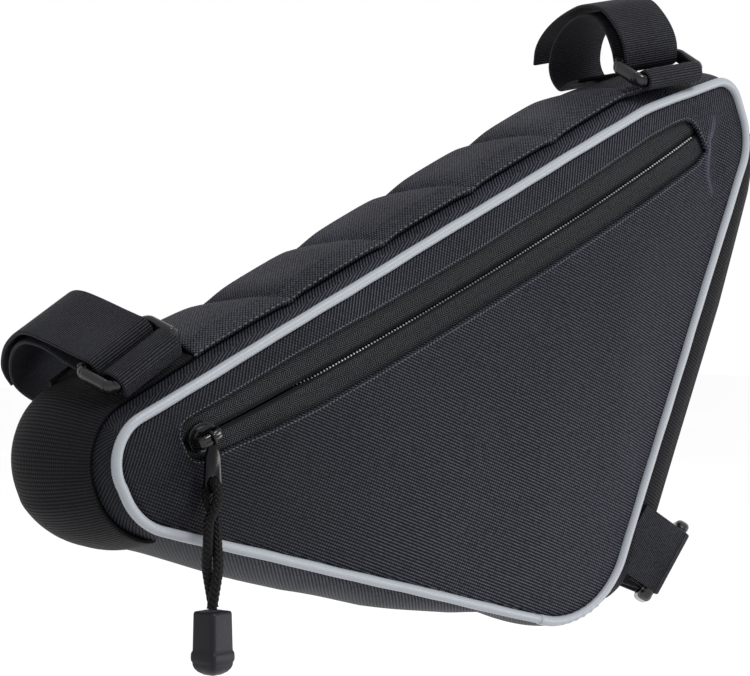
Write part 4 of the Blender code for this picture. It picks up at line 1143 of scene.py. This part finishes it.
half = TAB_WIDE / 2
shoulder = TAB_FROM - TAB_SHOULDER
tab_outline = [(-TAB_NECK / 2, TAB_FROM), (TAB_NECK / 2, TAB_FROM), (half * 0.85, shoulder)]
for angle in np.linspace(0, -math.pi, 17):
    tab_outline.append((half * math.cos(angle), TAB_TO + half + half * math.sin(angle)))
tab_outline.append((-half * 0.85, shoulder))
circle = np.linspace(0, 2 * math.pi, 24, endpoint=False)
hole_at = TAB_TO + half + 0.0002
hole = [(TAB_HOLE * math.cos(angle), hole_at + TAB_HOLE * math.sin(angle)) for angle in circle]
eye_path = [HINGE + laid((0, EYE_RADIUS * math.cos(angle), EYE_RADIUS * math.sin(angle)))
            for angle in circle]
for made in (slab("pull_tab_plate", tab_outline, -TAB_THICK / 2, TAB_THICK / 2, TAB_EDGE, tab_finish,
                  on_hinge, hole),
             tube("pull_tab_eye", eye_path, EYE_WIRE, metal_finish, 10, loop=True)):
    fitted(made, "pull", "pull_tab")


# Pull end. Soft grey-blue rubber moulded round both ends of the cord, square with an edge
# to the front, with a stepped sole whose underside is domed. Its faces are left bare.
END_TOP = -0.0537
END_TALL = 0.0200
END_DOME = 0.0032
END_TURN = 10
END_HALF = 0.0054
# Share of the height and width; the last rows turn in under the sole
END_ROWS = [
    (0.000, 0.0084), (0.010, 0.0089), (0.040, 0.0092), (0.300, 0.0094), (0.560, 0.0096),
    (0.640, 0.0097), (0.670, 0.0102), (0.710, 0.0105), (0.800, 0.0106), (0.850, 0.0104),
    (0.870, 0.0098), (0.890, 0.0098), (0.930, 0.0096), (0.970, 0.0088), (0.990, 0.0074),
    (1.000, 0.0046), (1.000, 0.0018),
]
rubber_finish = Finish("moulded grey rubber", 0.46, Specular_IOR_Level=0.18)
grain = rubber_finish.speckle(2600.0, 2.0)
smear = rubber_finish.speckle(120.0, 3.0)
rubber_finish.colour(smear * 0.6 + grain * 0.4, (0.002, 0.002, 0.004), (0.008, 0.008, 0.012))
rubber_finish.rough(0.38 + grain * 0.2)
rubber_finish.relief(grain, 0.00006)
rows = []
turned = Matrix.Rotation(math.radians(END_TURN), 3, "Z")
for share, width in END_ROWS:
    ring = np.array(rounded(width, width, width * 0.15))
    corner = np.hypot(*ring.T) / (END_HALF * math.sqrt(2))
    dome = END_DOME * np.clip((share - 0.5) * 2, 0, 1) * np.minimum(corner, 1) ** 2
    drop = END_TOP - END_TALL * share + dome
    rows.append([tuple(turned @ Vector((x, y, z))) for (x, y), z in zip(ring, drop)])
pull_end = skin("pull_end_rubber", np.array(rows) + HINGE, rubber_finish, ring=True)
fitted(pull_end, "pull", "pull_end")


# Straps. Three lengths of 25 mm black webbing, hook and loop on their inner faces. Each is
# sewn down behind, goes round the frame's tube, through its ring and back over itself.
STRAP_WIDE = 0.025
STRAP_THICK = 0.0014
STRAP_RIB = 0.00080
STRAP_GRID = 0.0030
# Light tone of the worn rib tops, brighter than the nose webbing's as painted light.
STRAP_WORN_AND_LIT = (0.033, 0.034, 0.043)
# Corner and run where each stands, turn and yaw in degrees, and the route in its own plane,
# as back and out from the front seam in millimetres
STRAPS = {
    "left": ("nose_top", 0.02618, -7, 0, [
        (44.5, 11.9), (49.7, 6.6), (56.4, 3.1), (63.6, 4.9), (68.2, 9.5), (65.6, 16.0),
        (57.7, 23.1), (48.0, 26.7), (38.2, 25.0), (29.4, 19.8), (20.5, 14.9), (18.0, 14.2),
        (16.0, 14.7), (14.8, 16.2), (14.6, 18.0), (15.4, 19.7), (17.2, 20.9), (24.5, 23.7),
        (34.9, 27.8), (43.1, 30.2), (50.3, 29.6), (61.0, 24.6), (68.9, 17.9), (70.9, 13.4),
        (70.2, 9.4)]),
    "right": ("nose_top", 0.27118, 6, -7, [
        (37.0, 10.2), (44.0, 9.2), (49.5, 7.4), (53.5, 11.4), (53.8, 17.2), (49.5, 24.8),
        (41.0, 31.1), (31.0, 34.2), (23.0, 32.9), (17.8, 27.6), (15.2, 20.7), (14.7, 15.3),
        (14.2, 13.9), (13.1, 12.9), (11.6, 12.5), (10.1, 12.9), (9.0, 13.9), (8.5, 15.3),
        (8.0, 20.4), (9.5, 25.5), (13.0, 30.7), (18.2, 35.5), (25.0, 37.5), (33.0, 37.4),
        (45.0, 34.0), (54.5, 29.3), (60.8, 23.8), (63.5, 17.6)]),
    "lower": ("low", -0.0335, 6, 10, [
        (21.8, 17.3), (30.4, 16.8), (36.1, 14.9), (40.9, 15.7), (43.5, 20.1), (42.6, 26.5),
        (37.8, 31.5), (30.0, 33.2), (21.8, 31.2), (14.0, 29.9), (12.5, 30.0), (11.2, 30.9),
        (10.5, 32.2), (10.5, 33.7), (11.2, 35.1), (12.5, 35.9), (18.3, 37.9), (27.0, 38.5),
        (36.5, 36.9), (43.9, 32.5), (47.4, 26.1)]),
}


def strap_frame(side):
    """Axes of a strap: along its width, to the back and out from the bag, and its place."""
    corner, run, turn, yaw, _ = STRAPS[side]
    x, z, out_x, out_z = seam_at(corner_runs[corner] + run)
    out = Vector((out_x, 0, out_z))
    out.rotate(Matrix.Rotation(math.radians(turn), 3, "Y"))
    back = Vector((0, 1, 0))
    back.rotate(Matrix.Rotation(math.radians(yaw), 3, out))
    along = back.cross(out).normalized()
    return np.array((along, back, out)), np.array((x, FRONT, z))


def ribbon(name, side, route, node):
    """Webbing with rounded edges along a route in a strap's plane, in millimetres."""
    axes, place = strap_frame(side)
    path = smooth(route, 8) / 1000
    section = rounded(STRAP_WIDE, STRAP_THICK, STRAP_THICK * 0.42, 3)
    fine = []
    for start, end in zip(section, section[1:] + section[:1]):
        count = max(1, round(math.dist(start, end) / STRAP_GRID))
        fine += list(np.linspace(start, end, count, endpoint=False))
    rows = []
    for at, left in zip(path, beside(path)):
        rows.append([place + axes.T @ np.array((x, *(at + left * y))) for x, y in fine])
    fitted(skin(name, laid(rows), strap_finish, ring=True), "bag", node)


strap_finish = ribbed_webbing("ribbed strap webbing", STRAP_RIB, 0.0007, STRAP_WORN_AND_LIT)
for side, (*_, route) in STRAPS.items():
    ribbon(side + "_strap_webbing", side, route, side + "_strap")


# Rings and ring tabs. Moulded glossy rings, long ovals with flattened ends, hold the straps.
# A short tab of webbing rolled round each ring's front bar is sewn into the seam below it.
RING_LONG = 0.0330
RING_WIDE = 0.018
RING_WIRE = 0.00175
RING_PADDLE = 0.0009
RING_CORNER = 0.0030
# Middle of each ring to the back and out, its tilt in degrees, and its tab's route
RINGS = {
    "left": (13.3, 15.3, 25, [
        (5.5, 8.0), (4.0, 10.8), (3.6, 12.4), (4.2, 14.0), (5.9, 15.3), (8.6, 16.4),
        (10.9, 16.3), (12.0, 14.8), (12.0, 10.8)]),
    "right": (5.2, 12.2, 28, [
        (3.2, 8.2), (0.6, 6.3), (-1.3, 5.7), (-3.3, 6.5), (-4.3, 8.3), (-3.9, 10.3),
        (-2.3, 11.7), (-0.2, 11.7), (6.2, 9.6)]),
    "lower": (7.8, 28.5, 38, [
        (0.9, 1.6), (0.2, 8.0), (-0.3, 15.0), (-0.7, 22.7), (-1.0, 24.5), (-0.3, 26.1),
        (1.2, 27.0), (3.0, 27.0), (4.4, 26.0), (5.2, 24.4), (6.2, 16.7)]),
}
ring_finish = Finish("glossy moulded plastic", 0.22, Specular_IOR_Level=0.35)
smear = ring_finish.speckle(300.0, 3.0)
ring_finish.colour(smear, (0.0015, 0.0015, 0.002), (0.008, 0.008, 0.010))
ring_finish.rough(0.14 + smear * 0.16)
for side, (back, out, tilt, route) in RINGS.items():
    axes, place = strap_frame(side)
    lean = np.array((0, math.cos(math.radians(tilt)), math.sin(math.radians(tilt))))
    loop = np.array(rounded(RING_LONG - 2 * RING_WIRE, RING_WIDE - 2 * RING_WIRE, RING_CORNER, 8))
    loop = smooth(np.concatenate([loop, loop[:1]]), 3)[:-1]
    middle = np.array((0, back, out)) / 1000
    path = [place + axes.T @ (middle + np.array((x, 0, 0)) + lean * y) for x, y in loop]
    end_share = np.clip(np.abs(loop[:, 0]) / (RING_LONG / 2 - RING_WIRE) * 4 - 3, 0, 1)
    turn = np.linspace(0.0, 2 * math.pi, 24, endpoint=False)
    wire = RING_WIRE + RING_PADDLE * end_share[:, None] * np.cos(turn)[None, :] ** 2
    upright = laid(axes.T @ np.cross((1, 0, 0), lean))
    ring = tube(side + "_ring_moulded", laid(path), wire, ring_finish, 24, loop=True, side=upright)
    fitted(ring, "bag", side + "_ring")
    ribbon(side + "_ring_tab_webbing", side, route, side + "_ring_tab")


# Floor and light. The bag hangs above a plain pale floor under a soft white studio light,
# with a large key from above the nose and a weaker fill from the tip's side.
FLOOR_Z = -0.42
floor_finish = Finish("pale floor", 0.9)
floor_finish.colour(floor_finish.speckle(3.0), (0.95, 0.95, 0.95), (0.98, 0.98, 0.98))
corners = [(-6, -6, FLOOR_Z), (6, -6, FLOOR_Z), (6, 6, FLOOR_Z), (-6, 6, FLOOR_Z)]
mesh = bpy.data.meshes.new("floor")
mesh.from_pydata(corners, [], [(0, 1, 2, 3)])
mesh.materials.append(floor_finish.material)
placed("floor", mesh)

world = bpy.data.worlds.new("studio")
world.use_nodes = True
background = world.node_tree.nodes["Background"]
background.inputs["Color"].default_value = (1.0, 1.0, 1.0, 1.0)
background.inputs["Strength"].default_value = 1.0
bpy.context.scene.world = world
bpy.context.scene.view_settings.view_transform = "Standard"


def soft_light(name, place, target, size, power):
    light = bpy.data.lights.new(name, "AREA")
    light.size = size
    light.energy = power
    made = placed(name, light)
    made.location = place
    made.rotation_euler = (Vector(target) - Vector(place)).to_track_quat("-Z", "Y").to_euler()


soft_light("key", (0.2, -1.2, 1.3), (0, 0, -0.1), 0.5, 26)
soft_light("fill", (1.1, -0.9, -0.2), (0, 0, -0.1), 0.4, 7)
